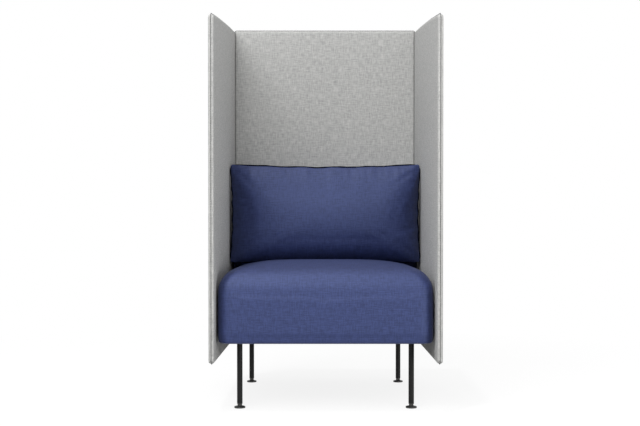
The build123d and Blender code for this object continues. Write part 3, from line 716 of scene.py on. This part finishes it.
def placed(name, data):
    """A new object in the scene."""
    item = bpy.data.objects.new(name, data)
    bpy.context.scene.collection.objects.link(item)
    return item


def smooth_piece(name, mesh, materials):
    """An object for a finished mesh, shaded smooth."""
    mesh.name = name
    piece = placed(name, mesh)
    mesh.materials.clear()
    for material in materials:
        mesh.materials.append(material)
    mesh.polygons.foreach_set("use_smooth", [True] * len(mesh.polygons))
    return piece


def read(items, attribute, width=1, kind=np.float32):
    """One attribute of a mesh's parts, a row for each part."""
    values = np.zeros(len(items) * width, kind)
    items.foreach_get(attribute, values)
    return values.reshape(-1, width) if width > 1 else values


def coordinates(mesh):
    """A mesh's points as an array."""
    return read(mesh.vertices, "co", 3).astype(float)


def lay_weave(mesh):
    """Lay the cloth's threads over the mesh in metres, by the way each face looks."""
    layer = mesh.uv_layers.get(WEAVE_UV) or mesh.uv_layers.new(name=WEAVE_UV)
    places = coordinates(mesh)[read(mesh.loops, "vertex_index", kind=np.int32)]
    normals = read(mesh.polygons, "normal", 3)
    totals = read(mesh.polygons, "loop_total", kind=np.int32)
    main = np.repeat(np.abs(normals).argmax(axis=1), totals)
    first = np.choose(main, [1, 0, 0])
    second = np.choose(main, [2, 2, 1])
    rows = np.arange(len(places))
    uv = np.stack([places[rows, first], places[rows, second]], axis=1)
    layer.data.foreach_set("uv", uv.astype(np.float32).ravel())


def set_coordinates(mesh, points):
    """Move a mesh's points."""
    mesh.vertices.foreach_set("co", points.astype(np.float32).ravel())
    mesh.update()


def evaluated_mesh(piece):
    """The piece's mesh with its modifiers applied, as a plain mesh."""
    bpy.context.view_layer.update()
    graph = bpy.context.evaluated_depsgraph_get()
    return bpy.data.meshes.new_from_object(piece.evaluated_get(graph), depsgraph=graph)


def applied(piece):
    """The piece with its modifiers applied to its mesh."""
    start, finished = piece.data, evaluated_mesh(piece)
    piece.modifiers.clear()
    piece.data = finished
    bpy.data.meshes.remove(start)
    finished.name = piece.name
    return piece


# ---- Stitches and staples -----------------------------------------------------------------------
def stitch_tree():
    """Geometry Nodes that lay short rounded pieces along a line, each with a little unevenness."""
    group = bpy.data.node_groups.new(PIECES_TREE, "GeometryNodeTree")
    for name, kind in TREE_INPUTS:
        socket = group.interface.new_socket(
            name, in_out="INPUT", socket_type=f"NodeSocket{kind}"
        )
        if name in ("Pitch", "Length", "Thickness"):
            socket.subtype = "DISTANCE"
    group.interface.new_socket("Pieces", in_out="OUTPUT", socket_type="NodeSocketGeometry")
    tree = Tree(group)
    given = tree.add("NodeGroupInput").outputs
    curve = tree.add("GeometryNodeMeshToCurve", {}, {0: given["Line"]}).outputs[0]
    spots = tree.add(
        "GeometryNodeCurveToPoints", {"mode": "LENGTH"}, {0: curve, "Length": given["Pitch"]}
    ).outputs
    bead = tree.add("GeometryNodeMeshUVSphere", {}, {"Segments": 6, "Rings": 5, "Radius": 0.5})
    thickness, length = given["Thickness"], given["Length"]
    form = tree.add("ShaderNodeCombineXYZ", {}, {0: thickness, 1: thickness, 2: length})
    shaped = tree.add(
        "GeometryNodeTransform", {}, {"Geometry": bead.outputs[0], "Scale": form.outputs[0]}
    )
    bounds = {"Seed": given["Seed"]}
    for bound, operation in (("Min", "SUBTRACT"), ("Max", "ADD")):
        change = {0: 1.0, 1: given["Unevenness"]}
        bounds[bound] = tree.add("ShaderNodeMath", {"operation": operation}, change).outputs[0]
    uneven = tree.add("FunctionNodeRandomValue", {"data_type": "FLOAT"}, bounds)
    laid = tree.add(
        "GeometryNodeInstanceOnPoints",
        {},
        {
            "Points": spots["Points"],
            "Instance": shaped.outputs[0],
            "Rotation": spots["Rotation"],
            "Scale": next(o for o in uneven.outputs if o.enabled and o.type == "VALUE"),
        },
    )
    real = tree.add("GeometryNodeRealizeInstances", {}, {0: laid.outputs[0]}).outputs[0]
    painted = tree.add(
        "GeometryNodeSetMaterial", {}, {"Geometry": real, "Material": given["Finish"]}
    )
    tree.add("NodeGroupOutput", {}, {0: painted.outputs[0]})
    return group


def pieces_along(name, loops, material, sizes):
    """Run the tree on closed lines and keep the result as a plain mesh."""
    tree = bpy.data.node_groups.get(PIECES_TREE) or stitch_tree()
    points, edges = [], []
    for loop in loops:
        first = len(points)
        points += [tuple(point) for point in loop]
        edges += [(first + i, first + (i + 1) % len(loop)) for i in range(len(loop))]
    line = bpy.data.meshes.new(f"{name}_line")
    line.from_pydata(points, edges, [])
    piece = placed(name, line)
    modifier = piece.modifiers.new("pieces", "NODES")
    modifier.node_group = tree
    for item in tree.interface.items_tree:
        if item.item_type != "SOCKET" or item.in_out != "INPUT" or item.name == "Line":
            continue
        modifier[item.identifier] = material if item.name == "Finish" else sizes[item.name]
    if not applied(piece).data.polygons:
        raise RuntimeError(f"{name}: the stitches came out empty")
    return piece


def stitch_sizes(settings):
    """Input values for a row of stitches."""
    sizes = settings.pitch, settings.length, settings.thread
    return dict(zip(ROW_INPUTS, (*sizes, STITCH_UNEVENNESS, settings.seed)))


def staple_sizes(settings):
    """Input values for a row of staples."""
    sizes = settings.staple_pitch, settings.staple_length, settings.staple_wire
    return dict(zip(ROW_INPUTS, (*sizes, STAPLE_UNEVENNESS, settings.seed)))


# ---- Cloth over padding -------------------------------------------------------------------------
def remeshed(mesh, voxel):
    """The mesh as an even grid of small faces."""
    helper = placed("even_grid", mesh)
    modifier = helper.modifiers.new("grid", "REMESH")
    modifier.mode = "VOXEL"
    modifier.voxel_size = voxel
    modifier.use_smooth_shade = True
    even = evaluated_mesh(helper)
    bpy.data.objects.remove(helper)
    return even


def swollen(mesh, held, pressure, furthest, stiffness, rise):
    """The mesh blown up as cloth over padding: held points stay, and the padding lets none sink.

    Where the surface faces up, only the share given by rise is kept.
    """
    start = coordinates(mesh)
    normals = read(mesh.vertex_normals, "vector", 3).astype(float)
    helper = placed("cloth_over_padding", mesh)
    group = helper.vertex_groups.new(name="held")
    group.add([int(index) for index in np.nonzero(held)[0]], 1.0, "REPLACE")
    modifier = helper.modifiers.new("cloth", "CLOTH")
    cloth = modifier.settings
    cloth.vertex_group_mass = "held"
    cloth.use_pressure = True
    cloth.uniform_pressure_force = pressure
    cloth.quality = 5
    cloth.mass = 0.3
    cloth.tension_stiffness = stiffness
    cloth.compression_stiffness = stiffness
    cloth.shear_stiffness = stiffness / 3
    cloth.bending_stiffness = 0.6
    cloth.effector_weights.gravity = 0
    modifier.collision_settings.use_collision = False
    modifier.point_cache.frame_start = 1
    modifier.point_cache.frame_end = CLOTH_FRAMES
    scene = bpy.context.scene
    for frame_number in range(1, CLOTH_FRAMES + 1):
        scene.frame_set(frame_number)
    result = evaluated_mesh(helper)
    moved = coordinates(result) - start
    bpy.data.objects.remove(helper)
    scene.frame_set(1)
    bpy.data.meshes.remove(result)
    out = (moved * normals).sum(axis=1)
    aside = moved - out[:, None] * normals
    out = np.where(out > 0, furthest * np.tanh(out / furthest), out * SINKING)
    out *= 1 - (1 - rise) * np.clip(normals[:, 2], 0, 1)
    reach = np.linalg.norm(aside, axis=1, keepdims=True)
    aside *= furthest * np.tanh(reach / furthest) / np.maximum(reach, 1e-9)
    return start + out[:, None] * normals + aside * SLIDING


def blue_piece(context, name, mesh):
    """A piece of blue cloth, its mesh subdivided once and its threads laid."""
    piece = smooth_piece(name, mesh, [blue_upholstery(context)])
    modifier = piece.modifiers.new("finer", "SUBSURF")
    modifier.levels = modifier.render_levels = 1
    lay_weave(applied(piece).data)
    return piece


def crown_height(inset, roll, crown, reach):
    """Height of a padded form above its shoulder, a distance in from its side."""
    end = math.radians(ROLL_TURN)
    arc = roll * (1 - math.cos(end))
    if inset <= arc:
        return math.sqrt(max(roll**2 - (roll - inset) ** 2, 0))
    share = min((inset - arc) / reach, 1)
    return roll * math.sin(end) + crown * (1 - (1 - share) ** 2)


def padded_rings(width, length, base, shoulder, settings, to_place):
    """Rings of a padded form: upright sides, a rolled edge and a crowned face."""
    roll, crown, reach = settings.roll, settings.crown, settings.crown_reach
    arc = roll * (1 - math.cos(math.radians(ROLL_TURN)))
    rings = [[to_place(x, y, base) for x, y in rounded_ring(width, length, settings.corner)]]
    turns = [math.radians(ROLL_TURN * i / ROLL_STEPS) for i in range(ROLL_STEPS + 1)]
    insets = [roll * (1 - math.cos(turn)) for turn in turns]
    insets += [arc + reach * i / CROWN_STEPS for i in range(1, CROWN_STEPS + 1)]
    for inset in insets:
        across, along = width - 2 * inset, length - 2 * inset
        radius = min(settings.corner + inset / 3, ROUNDEST * min(across, along))
        height = shoulder + crown_height(inset, roll, crown, reach)
        rings.append([to_place(x, y, height) for x, y in rounded_ring(across, along, radius)])
    return rings


def seam_roll(name, loop, radius, material):
    """A thin rolled seam that runs round a closed line, a little uneven as sewn cloth is."""
    count, sides = len(loop), 8
    points = []
    for i, here in enumerate(loop):
        run = Vector(loop[(i + 1) % count]) - Vector(loop[i - 1])
        outward = run.cross(Vector((0, 1, 0))).normalized()
        thick = radius * (1 + 0.12 * math.sin(i * 0.47) + 0.08 * math.sin(i * 1.13))
        for j in range(sides):
            angle = 2 * math.pi * j / sides
            aside = Vector((0, math.cos(angle), 0)) + outward * math.sin(angle)
            points.append(tuple(Vector(here) + aside * thick))
    mesh = bpy.data.meshes.new(name)
    mesh.from_pydata(points, [], list(quads(count, sides, round_rows=True)))
    form = bmesh.new()
    form.from_mesh(mesh)
    bmesh.ops.recalc_face_normals(form, faces=form.faces)
    form.to_mesh(mesh)
    form.free()
    lay_weave(mesh)
    return smooth_piece(name, mesh, [material])


def keep_faces(mesh, keep):
    """Delete the faces whose middle isn't wanted."""
    form = bmesh.new()
    form.from_mesh(mesh)
    unwanted = [face for face in form.faces if not keep(face)]
    bmesh.ops.delete(form, geom=unwanted, context="FACES")
    form.to_mesh(mesh)
    form.free()
    mesh.update()


# ---- Operators ----------------------------------------------------------------------------------
class CHAIR_OT_screens(bpy.types.Operator):
    """Upholster the two wings and the back screen."""

    bl_idname = "chair.screens"
    bl_label = "Upholster screens"

    def execute(self, context):
        settings = context.scene.chair.screens
        stitches = context.scene.chair.stitches
        cloth = grey_cloth(settings, "grey_screen_cloth", 1.0)
        # The sewn ridge's darker copy of the grey cloth is painted shade.
        painted_shade_seam_cloth = grey_cloth(settings, "grey_seam_painted_shade_cloth", settings.seam_painted_shade)
        thread = sewing_thread("grey_sewing_thread", settings.dark)
        for name in ("left_wing", "right_wing", "back_screen"):
            self.upholster(name, settings, stitches, cloth, painted_shade_seam_cloth, thread)
        return {"FINISHED"}

    def edge_profile(self, settings, half):
        """(inset, offset from the middle) over half of a screen's edge, sewn ridge included."""
        roll = settings.edge_radius
        profile = []
        for share in EDGE_STEPS:
            offset = half * share
            over = max(offset - (half - roll), 0)
            ridge = settings.seam_rise * math.exp(-((offset / settings.seam_width * 1.2) ** 2))
            profile.append((roll - math.sqrt(roll**2 - over**2) - ridge, offset))
        return profile + [(roll, half - EDGE_GAP), (roll * 2, half)]

    def upholster(self, name, settings, stitches, cloth, painted_shade_seam_cloth, thread):
        """One screen: two skins that roll over the edge and meet in a sewn ridge."""
        first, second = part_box(f"{name}_inner_fabric"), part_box(f"{name}_outer_fabric")
        low = Vector(map(min, first[0], second[0]))
        high = Vector(map(max, first[1], second[1]))
        across = 1 if name == "back_screen" else 0
        along = 1 - across
        outline = back_line if across else wing_line
        ends = (low[along], low[2]), (high[along], high[2])
        middle, half = (low[across] + high[across]) / 2, (high[across] - low[across]) / 2

        def ring(inset, offset):
            line = outline(settings, *ends, inset)
            if across:
                return [(x, middle + offset, z) for x, z in line]
            return [(middle + offset, y, z) for y, z in line]

        profile = self.edge_profile(settings, half)
        rings = [ring(inset, -offset) for inset, offset in profile[:0:-1]]
        rings += [ring(inset, offset) for inset, offset in profile]
        mesh = mesh_from_rings(f"{name}_upholstery", rings)
        lay_weave(mesh)
        piece = smooth_piece(f"{name}_upholstery", mesh, [cloth, painted_shade_seam_cloth])
        # Bands within the seam's half width take the darker cloth: painted shade along the sewn
        # ridge.
        shaded = [abs(offset) < settings.seam_width for _, offset in profile[:0:-1] + profile]
        count = len(rings[0])
        for band, (here, there) in enumerate(zip(shaded, shaded[1:])):
            for face in mesh.polygons[band * count : (band + 1) * count]:
                face.material_index = int(here and there)
        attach(piece, CHAIR_BODY)
        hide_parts(f"{name}_inner_fabric", f"{name}_outer_fabric", f"{name}_fleece")
        seam = ring(-settings.seam_rise - stitches.thread * 0.2, 0.0)
        row = pieces_along(f"{name}_edge_stitches", [seam], thread, stitch_sizes(stitches))
        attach(row, CHAIR_BODY)


class CHAIR_OT_seat(bpy.types.Operator):
    """Pad and cover the seat."""

    bl_idname = "chair.seat"
    bl_label = "Cover seat"

    def execute(self, context):
        settings = context.scene.chair.seat
        low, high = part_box("seat_cover")
        width, length = high.x - low.x, settings.rear - low.y
        middle_x, middle_y = (high.x + low.x) / 2, (settings.rear + low.y) / 2
        waist = low.z + WAIST * (settings.shoulder - low.z)
        above = high.z - waist

        def to_place(x, y, z):
            if z > waist:
                height = max(1 - ((z - waist) / above) ** 2, 0)
            else:
                height = 1 - (1 - FRONT_FOOT) * ((waist - z) / (waist - low.z)) ** 2
            front = max(-2 * y / length, 0) ** 3
            level = 1 - (2 * x / width) ** 2
            return middle_x + x, middle_y + y - settings.front_bulge * height * front * level, z

        width_start, length_start = width - 2 * SEAT_SHRINK, length - SEAT_SHRINK
        base = padded_rings(
            width_start, length_start, low.z, settings.shoulder, settings, to_place
        )
        rings = []
        for step in range(SIDE_STEPS):
            level = low.z + (settings.shoulder - low.z) * step / SIDE_STEPS
            tuck = HEM_TUCK * max(1 - step / 2, 0) ** 2
            ring = rounded_ring(
                width - 2 * (SEAT_SHRINK + tuck), length_start - 2 * tuck, settings.corner
            )
            rings.append([to_place(x, y, level) for x, y in ring])
        rings += base[1:]
        even = remeshed(mesh_from_rings("seat_upholstery", rings), settings.voxel)
        points = coordinates(even)
        hem_line, rear_line = low.z + HELD_HEM, settings.rear - HELD_REAR
        held = (points[:, 2] < hem_line) | (points[:, 1] > rear_line)
        points = swollen(
            even, held, settings.pressure, settings.swell, stiffness=18, rise=0
        )
        front = low.y - settings.front_bulge - FRONT_SLACK
        bounds = (low.x, front, low.z), (high.x, settings.rear, high.z)
        set_coordinates(even, np.clip(points, *bounds))
        piece = blue_piece(context, "seat_upholstery", even)
        inside_x = high.x - settings.hem
        inside_y = low.y + settings.hem
        rail_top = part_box("rear_rail")[1].z

        def wanted(face):
            x, y, z = face.calc_center_median()
            under = z < low.z + UNDERSIDE and abs(x) < inside_x and y > inside_y
            behind = y > settings.rear - REAR_SKIN and z < rail_top
            return not under and not behind

        keep_faces(piece.data, wanted)
        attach(piece, CHAIR_BODY)
        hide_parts("seat_cover", "seat_foam", "frame_wrap")
        return {"FINISHED"}


class CHAIR_OT_low_back(bpy.types.Operator):
    """Pad and cover the low back behind the cushion."""

    bl_idname = "chair.low_back"
    bl_label = "Cover low back"

    def execute(self, context):
        settings = context.scene.chair.back
        low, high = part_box("back_cover")
        width, height, depth = high.x - low.x, high.z - low.z, high.y - low.y
        shoulder = depth - settings.crown - settings.roll * math.sin(math.radians(ROLL_TURN))
        middle_z = (high.z + low.z) / 2

        def to_place(x, y, z):
            return x, high.y - z, middle_z + y

        rings = padded_rings(width, height, 0.0, shoulder, settings, to_place)
        even = remeshed(mesh_from_rings("low_back_upholstery", rings), settings.voxel)
        piece = blue_piece(context, "low_back_upholstery", even)
        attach(piece, CHAIR_BODY)
        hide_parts("back_cover", "back_foam")
        return {"FINISHED"}


class CHAIR_OT_cushion(bpy.types.Operator):
    """Fill and sew the loose cushion."""

    bl_idname = "chair.cushion"
    bl_label = "Fill cushion"

    def outline(self, settings, low, high, band, share):
        """The cushion's line at a band in from its seam; the sides are drawn in near the seam."""
        fade = (1 - share) ** 2
        left, right = low.x + band, high.x - band
        bottom, top = low.z + band, high.z - band
        radius = settings.corner + (WIDE_CORNER - settings.corner) * math.sqrt(share)
        radius = min(radius, ROUNDEST * (top - bottom))
        west, east, south, north = left + radius, right - radius, bottom + radius, top - radius
        edges = (  # start, end, pull, centre of the corner that follows
            ((west, bottom), (east, bottom), (0, settings.bottom_pull), (east, south)),
            ((right, south), (right, north), (-settings.side_pull, 0), (east, north)),
            ((east, top), (west, top), (0, -settings.top_pull), (west, north)),
            ((left, north), (left, south), (settings.side_pull, 0), (west, south)),
        )
        line = []
        for turn, (start, end, pull, centre) in enumerate(edges):
            angle = 90 * turn - 90
            for i in range(RUN_STEPS):
                part = i / RUN_STEPS
                uneven = 1 + PUCKER * math.sin(part * PUCKER_TURN + angle)
                draw = 4 * part * (1 - part) * fade * uneven
                line.append(
                    tuple(a + (b - a) * part + p * draw for a, b, p in zip(start, end, pull))
                )
            line += list(corner_arc(centre, radius, angle, angle + 90, WIDE_ARC_STEPS))[:-1]
        return line

    def execute(self, context):
        settings = context.scene.chair.cushion
        low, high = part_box("cushion_cover")
        plane = settings.seam_plane
        half = (high.y - low.y) / 2
        profile = [(i / CUSHION_RINGS) ** RING_CROWDING for i in range(CUSHION_RINGS + 1)]
        rings = []
        for side in (-1, 1):
            rows = []
            for share in profile:
                swell = half * START_FILL * (1 - (1 - share) ** FULLNESS)
                line = self.outline(settings, low, high, settings.reach * share, share)
                settled = 1 - (1 - share) ** 2
                over, down = settings.lean * settled, settings.slump * settled
                rows.append([(x + over, plane + side * swell, z - down) for x, z in line])
            rings = rows[:0:-1] + rings if side < 0 else rings + rows
        even = remeshed(mesh_from_rings("cushion_upholstery", rings), settings.voxel)
        points = coordinates(even)
        edge = np.abs(points[:, 1] - plane) < SEAM_CELLS * settings.voxel
        free = np.clip(np.abs(points[:, 1:2] - plane) / SEAM_EASE, 0, 1)
        blown = swollen(
            even, edge, settings.pressure, settings.swell, stiffness=12, rise=1
        )
        points += (blown - points) * free
        points = self.sharpened(points, plane, settings.pinch)
        points = self.creased(points, plane, low, high)
        bounds = (low.x, low.y - FRONT_FILL, low.z), (high.x, high.y + REAR_FILL, high.z)
        set_coordinates(even, np.clip(points, *bounds))
        piece = blue_piece(context, "cushion_upholstery", even)
        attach(piece, CUSHION_BODY)
        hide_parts("cushion_cover", "cushion_filling")
        self.sew(context, piece, plane, (low, high))
        return {"FINISHED"}

    def sharpened(self, points, plane, pinch):
        """Draw the cloth next to the seam to a knife edge."""
        offset = points[:, 1] - plane
        near = np.clip(np.abs(offset) / pinch, 0, 1)
        points[:, 1] = plane + offset * near**KNIFE_EDGE
        return points

    def creased(self, points, plane, low, high):
        """Shallow gathers along the seam and a few folds that run in from it."""
        x, z = points[:, 0], points[:, 2]
        side = np.where(points[:, 1] > plane, 1.0, -1.0)
        full = np.clip(np.abs(points[:, 1] - plane) / CREASE_EASE, 0, 1)
        gaps = np.stack([x - low.x, high.x - x, z - low.z, high.z - z])
        nearest = gaps.argmin(axis=0)
        gap = np.clip(gaps.min(axis=0), 0, None)
        along = np.where(nearest < 2, z, x)
        wave = sum(
            strength * np.sin(along * turn + nearest * by_edge + side * by_side)
            for turn, strength, by_edge, by_side in GATHERS
        )
        depth = GATHER_DEPTH * wave * np.exp(-((gap / GATHER_REACH) ** 2)) * full
        for place_x, place_z, run_x, run_z, length, width, deep in FOLDS:
            size_run = math.hypot(run_x, run_z)
            run = ((x - place_x) * run_x + (z - place_z) * run_z) / size_run
            off = ((x - place_x) * run_z - (z - place_z) * run_x) / size_run
            shape = np.exp(-((run / length) ** 2) - (off / width) ** 2)
            ridge = np.exp(-((run / length) ** 2) - ((off - 1.7 * width) / width) ** 2)
            depth += np.where(side < 0, deep * (0.5 * ridge - shape) * full, 0)
        points[:, 1] += side * depth
        return points

    def sew(self, context, piece, plane, box):
        """A thin rolled seam and its stitches along the knife edge."""
        points = coordinates(piece.data)
        middle = (box[0] + box[1]) / 2
        near = points[np.abs(points[:, 1] - plane) < SEAM_REACH]
        half_x, half_z = (box[1].x - box[0].x) / 2, (box[1].z - box[0].z) / 2
        angles = np.arctan2((near[:, 2] - middle.z) / half_z, (near[:, 0] - middle.x) / half_x)
        reach = np.maximum(
            np.abs(near[:, 0] - middle.x) / half_x, np.abs(near[:, 2] - middle.z) / half_z
        )
        loop = []
        for i in range(SEAM_STEPS):
            angle = -math.pi + 2 * math.pi * (i + 0.5) / SEAM_STEPS
            close = np.abs(angles - angle) < SEAM_WINDOW * math.pi / SEAM_STEPS
            if close.any():
                best = near[close][reach[close].argmax()]
                loop.append((best[0], plane, best[2]))
        loop = self.smoothed(loop)
        settings = context.scene.chair.cushion
        # The rolled seam's cloth is a darker copy of the blue cloth: painted shade.
        roll = seam_roll("cushion_seam_roll", loop, settings.seam_roll, blue_seam_in_painted_shade(context))
        stitches = context.scene.chair.stitches
        thread = sewing_thread("blue_sewing_thread", context.scene.chair.cloth.weft)
        line = [(x, plane - settings.seam_roll * STITCH_FRONT, z) for x, _, z in loop]
        row = pieces_along("cushion_seam_stitches", [line], thread, stitch_sizes(stitches))
        for sewn in (roll, row):
            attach(sewn, CUSHION_BODY)

    def smoothed(self, loop):
        """The seam's line without the steps of the cloth's grid."""
        line = np.array(loop)
        for _ in range(SEAM_SMOOTHING):
            line = line * 0.5 + (np.roll(line, 1, axis=0) + np.roll(line, -1, axis=0)) * 0.25
        return [tuple(point) for point in line]


class CHAIR_OT_lining(bpy.types.Operator):
    """Stretch the lining under the seat and staple it."""

    bl_idname = "chair.lining"
    bl_label = "Staple lining"

    def execute(self, context):
        low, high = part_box("bottom_lining")
        across, along = 64, 72
        points = []
        for j in range(along + 1):
            for i in range(across + 1):
                u, v = i / across, j / along
                x = low.x + (high.x - low.x) * u
                y = low.y + (high.y - low.y) * v
                sag = math.sin(math.pi * u) * math.sin(math.pi * v)
                ripple = LINING_RIPPLE * math.sin(19 * u + 7 * v) * math.sin(23 * v)
                drop = LINING_SAG * sag + ripple * sag
                points.append((x, y, high.z - LINING_GAP - drop))
        mesh = bpy.data.meshes.new("seat_lining")
        faces = list(quads(along + 1, across + 1, round_columns=False))
        mesh.from_pydata(points, [], faces)
        lining = smooth_piece("seat_lining", mesh, [lining_cloth()])
        lining.modifiers.new("thickness", "SOLIDIFY").thickness = LINING_THICKNESS
        applied(lining)
        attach(lining, CHAIR_BODY)
        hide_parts("bottom_lining")
        left, right = low.x + STAPLE_INSET, high.x - STAPLE_INSET
        front, rear = low.y + STAPLE_INSET, high.y - STAPLE_INSET
        edge = [(left, front), (right, front), (right, rear), (left, rear)]
        staples = context.scene.chair.stitches
        level = low.z + STAPLE_LIFT
        loop = [(x, y, level) for x, y in evenly_divided(edge, STAPLE_LINE_STEP)]
        row = pieces_along("lining_staples", [loop], bright_zinc(), staple_sizes(staples))
        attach(row, CHAIR_BODY)
        return {"FINISHED"}


class CHAIR_OT_hard_parts(bpy.types.Operator):
    """Finish the legs, feet, fixings, frame and board."""

    bl_idname = "chair.hard_parts"
    bl_label = "Finish hard parts"

    def execute(self, context):
        finishes = {
            "black_metal": powder_coat(),
            "black_plastic": moulded_nylon(),
            "zinc_steel": bpy.data.materials.get("bright_zinc_steel") or bright_zinc(),
            "timber": timber(),
            "core_board": pressed_board(),
            "webbing": elastic_belt(),
            "foam": foam(),
            "fleece": foam(),
            "lining": bpy.data.materials.get("black_lining_cloth") or lining_cloth(),
            "grey_fabric": bpy.data.materials["grey_screen_cloth"],
            "blue_fabric": bpy.data.materials["blue_upholstery_cloth"],
        }
        stems = black_zinc()
        for part in frame["record"]["subparts"]:
            node = frame["nodes"][part["node"]]
            finish = finishes[part["material_slot"]]
            if part["node"].endswith("_stem"):
                finish = stems
            node.data.materials.clear()
            node.data.materials.append(finish)
        return {"FINISHED"}


class CHAIR_OT_studio(bpy.types.Operator):
    """Set the camera, the floor, the lamps and the room light."""

    bl_idname = "chair.studio"
    bl_label = "Set up studio"

    def execute(self, context):
        settings = context.scene.chair.studio
        scene = context.scene
        self.camera(scene, settings)
        self.floor()
        for name, place, aim, width, watts in LAMPS:
            self.lamp(name, place, aim, width, watts * settings.lamps)
        self.overhead(settings)
        self.room(scene, settings)
        scene.view_settings.view_transform = "Standard"
        return {"FINISHED"}

    def camera(self, scene, settings):
        """Camera at the photograph's place, with a small shift that keeps uprights upright."""
        data = bpy.data.cameras.new("camera")
        data.lens, data.sensor_width = settings.lens, 36.0
        data.shift_x, data.shift_y = settings.shift_x, settings.shift_y
        data.clip_start, data.clip_end = 0.05, 100.0
        scene.camera = placed("camera", data)
        scene.camera.location = (settings.camera_x, settings.camera_y, settings.camera_z)
        scene.camera.rotation_euler = (math.radians(90 - settings.tilt), 0, 0)

    def floor(self):
        """A wide floor with a gentle rise at its far rim."""
        rings = []
        for radius, level in FLOOR_RINGS:
            circle = corner_arc((0, 0), radius, 0, 354, 59)
            rings.append([(x, y, level - FLOOR_DROP) for x, y in circle])
        mesh = bpy.data.meshes.new("studio_floor")
        points = [point for ring in rings for point in ring]
        count = len(rings[0])
        faces = [tuple(range(count)), *quads(len(rings), count)]
        mesh.from_pydata(points, [], faces)
        smooth_piece("studio_floor", mesh, [pale_floor()])

    def overhead(self, settings):
        """A distant lamp almost overhead, a little to the front and left."""
        data = bpy.data.lights.new("overhead", "SUN")
        data.energy, data.angle = settings.top, math.radians(settings.top_turn)
        self.aimed(data, OVERHEAD_PLACE, OVERHEAD_RUN)

    def lamp(self, name, place, target, width, power):
        """A large soft square lamp aimed at the chair."""
        data = bpy.data.lights.new(name, "AREA")
        data.shape, data.size, data.energy = "SQUARE", width, power
        self.aimed(data, place, Vector(target) - Vector(place))

    def aimed(self, data, place, run):
        """Put a lamp at a place, shining along a run."""
        lamp = placed(data.name, data)
        lamp.location = place
        lamp.rotation_mode = "QUATERNION"
        lamp.rotation_quaternion = Vector(run).to_track_quat("-Z", "Y")

    def room(self, scene, settings):
        """Even light all round; the camera, and what it sees through glass, find plain white."""
        world = bpy.data.worlds.new("white_room")
        world.use_nodes = True
        tree = Tree(world.node_tree)
        seen = tree.add("ShaderNodeLightPath").outputs
        direct = {0: seen["Is Camera Ray"], 1: seen["Is Transmission Ray"]}
        share = tree.add("ShaderNodeMath", {"operation": "MAXIMUM"}, direct).outputs[0]
        light, shown = (
            tree.add("ShaderNodeBackground", {}, {"Color": grey(1.0), "Strength": strength})
            for strength in (settings.room, 1.0)
        )
        both = {0: share, 1: light.outputs[0], 2: shown.outputs[0]}
        mixed = tree.add("ShaderNodeMixShader", {}, both)
        tree.add("ShaderNodeOutputWorld", {}, {0: mixed.outputs[0]})
        scene.world = world


OPERATORS = (
    CHAIR_OT_screens,
    CHAIR_OT_seat,
    CHAIR_OT_low_back,
    CHAIR_OT_cushion,
    CHAIR_OT_lining,
    CHAIR_OT_hard_parts,
    CHAIR_OT_studio,
)


class CHAIR_PT_panel(bpy.types.Panel):
    """Lists the chair's steps in the sidebar."""

    bl_idname = "CHAIR_PT_panel"
    bl_label = "Screened lounge chair"
    bl_space_type = "VIEW_3D"
    bl_region_type = "UI"
    bl_category = "Chair"

    def draw(self, context):
        for operator in OPERATORS:
            self.layout.operator(operator.bl_idname)


CLASSES = (
    ScreenSettings,
    SeatSettings,
    BackSettings,
    CushionSettings,
    ClothSettings,
    StitchSettings,
    StudioSettings,
    ChairSettings,
    *OPERATORS,
    CHAIR_PT_panel,
)


def register():
    """Register the classes and the settings."""
    for item in CLASSES:
        bpy.utils.register_class(item)
    bpy.types.Scene.chair = PointerProperty(type=ChairSettings)


def unregister():
    """Remove what register added."""
    del bpy.types.Scene.chair
    for item in reversed(CLASSES):
        bpy.utils.unregister_class(item)


def main():
    """Make every piece."""
    register()
    bpy.ops.chair.screens()
    bpy.ops.chair.seat()
    bpy.ops.chair.low_back()
    bpy.ops.chair.cushion()
    bpy.ops.chair.lining()
    bpy.ops.chair.hard_parts()
    bpy.ops.chair.studio()
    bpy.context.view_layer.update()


if __name__ == "__main__":
    main()
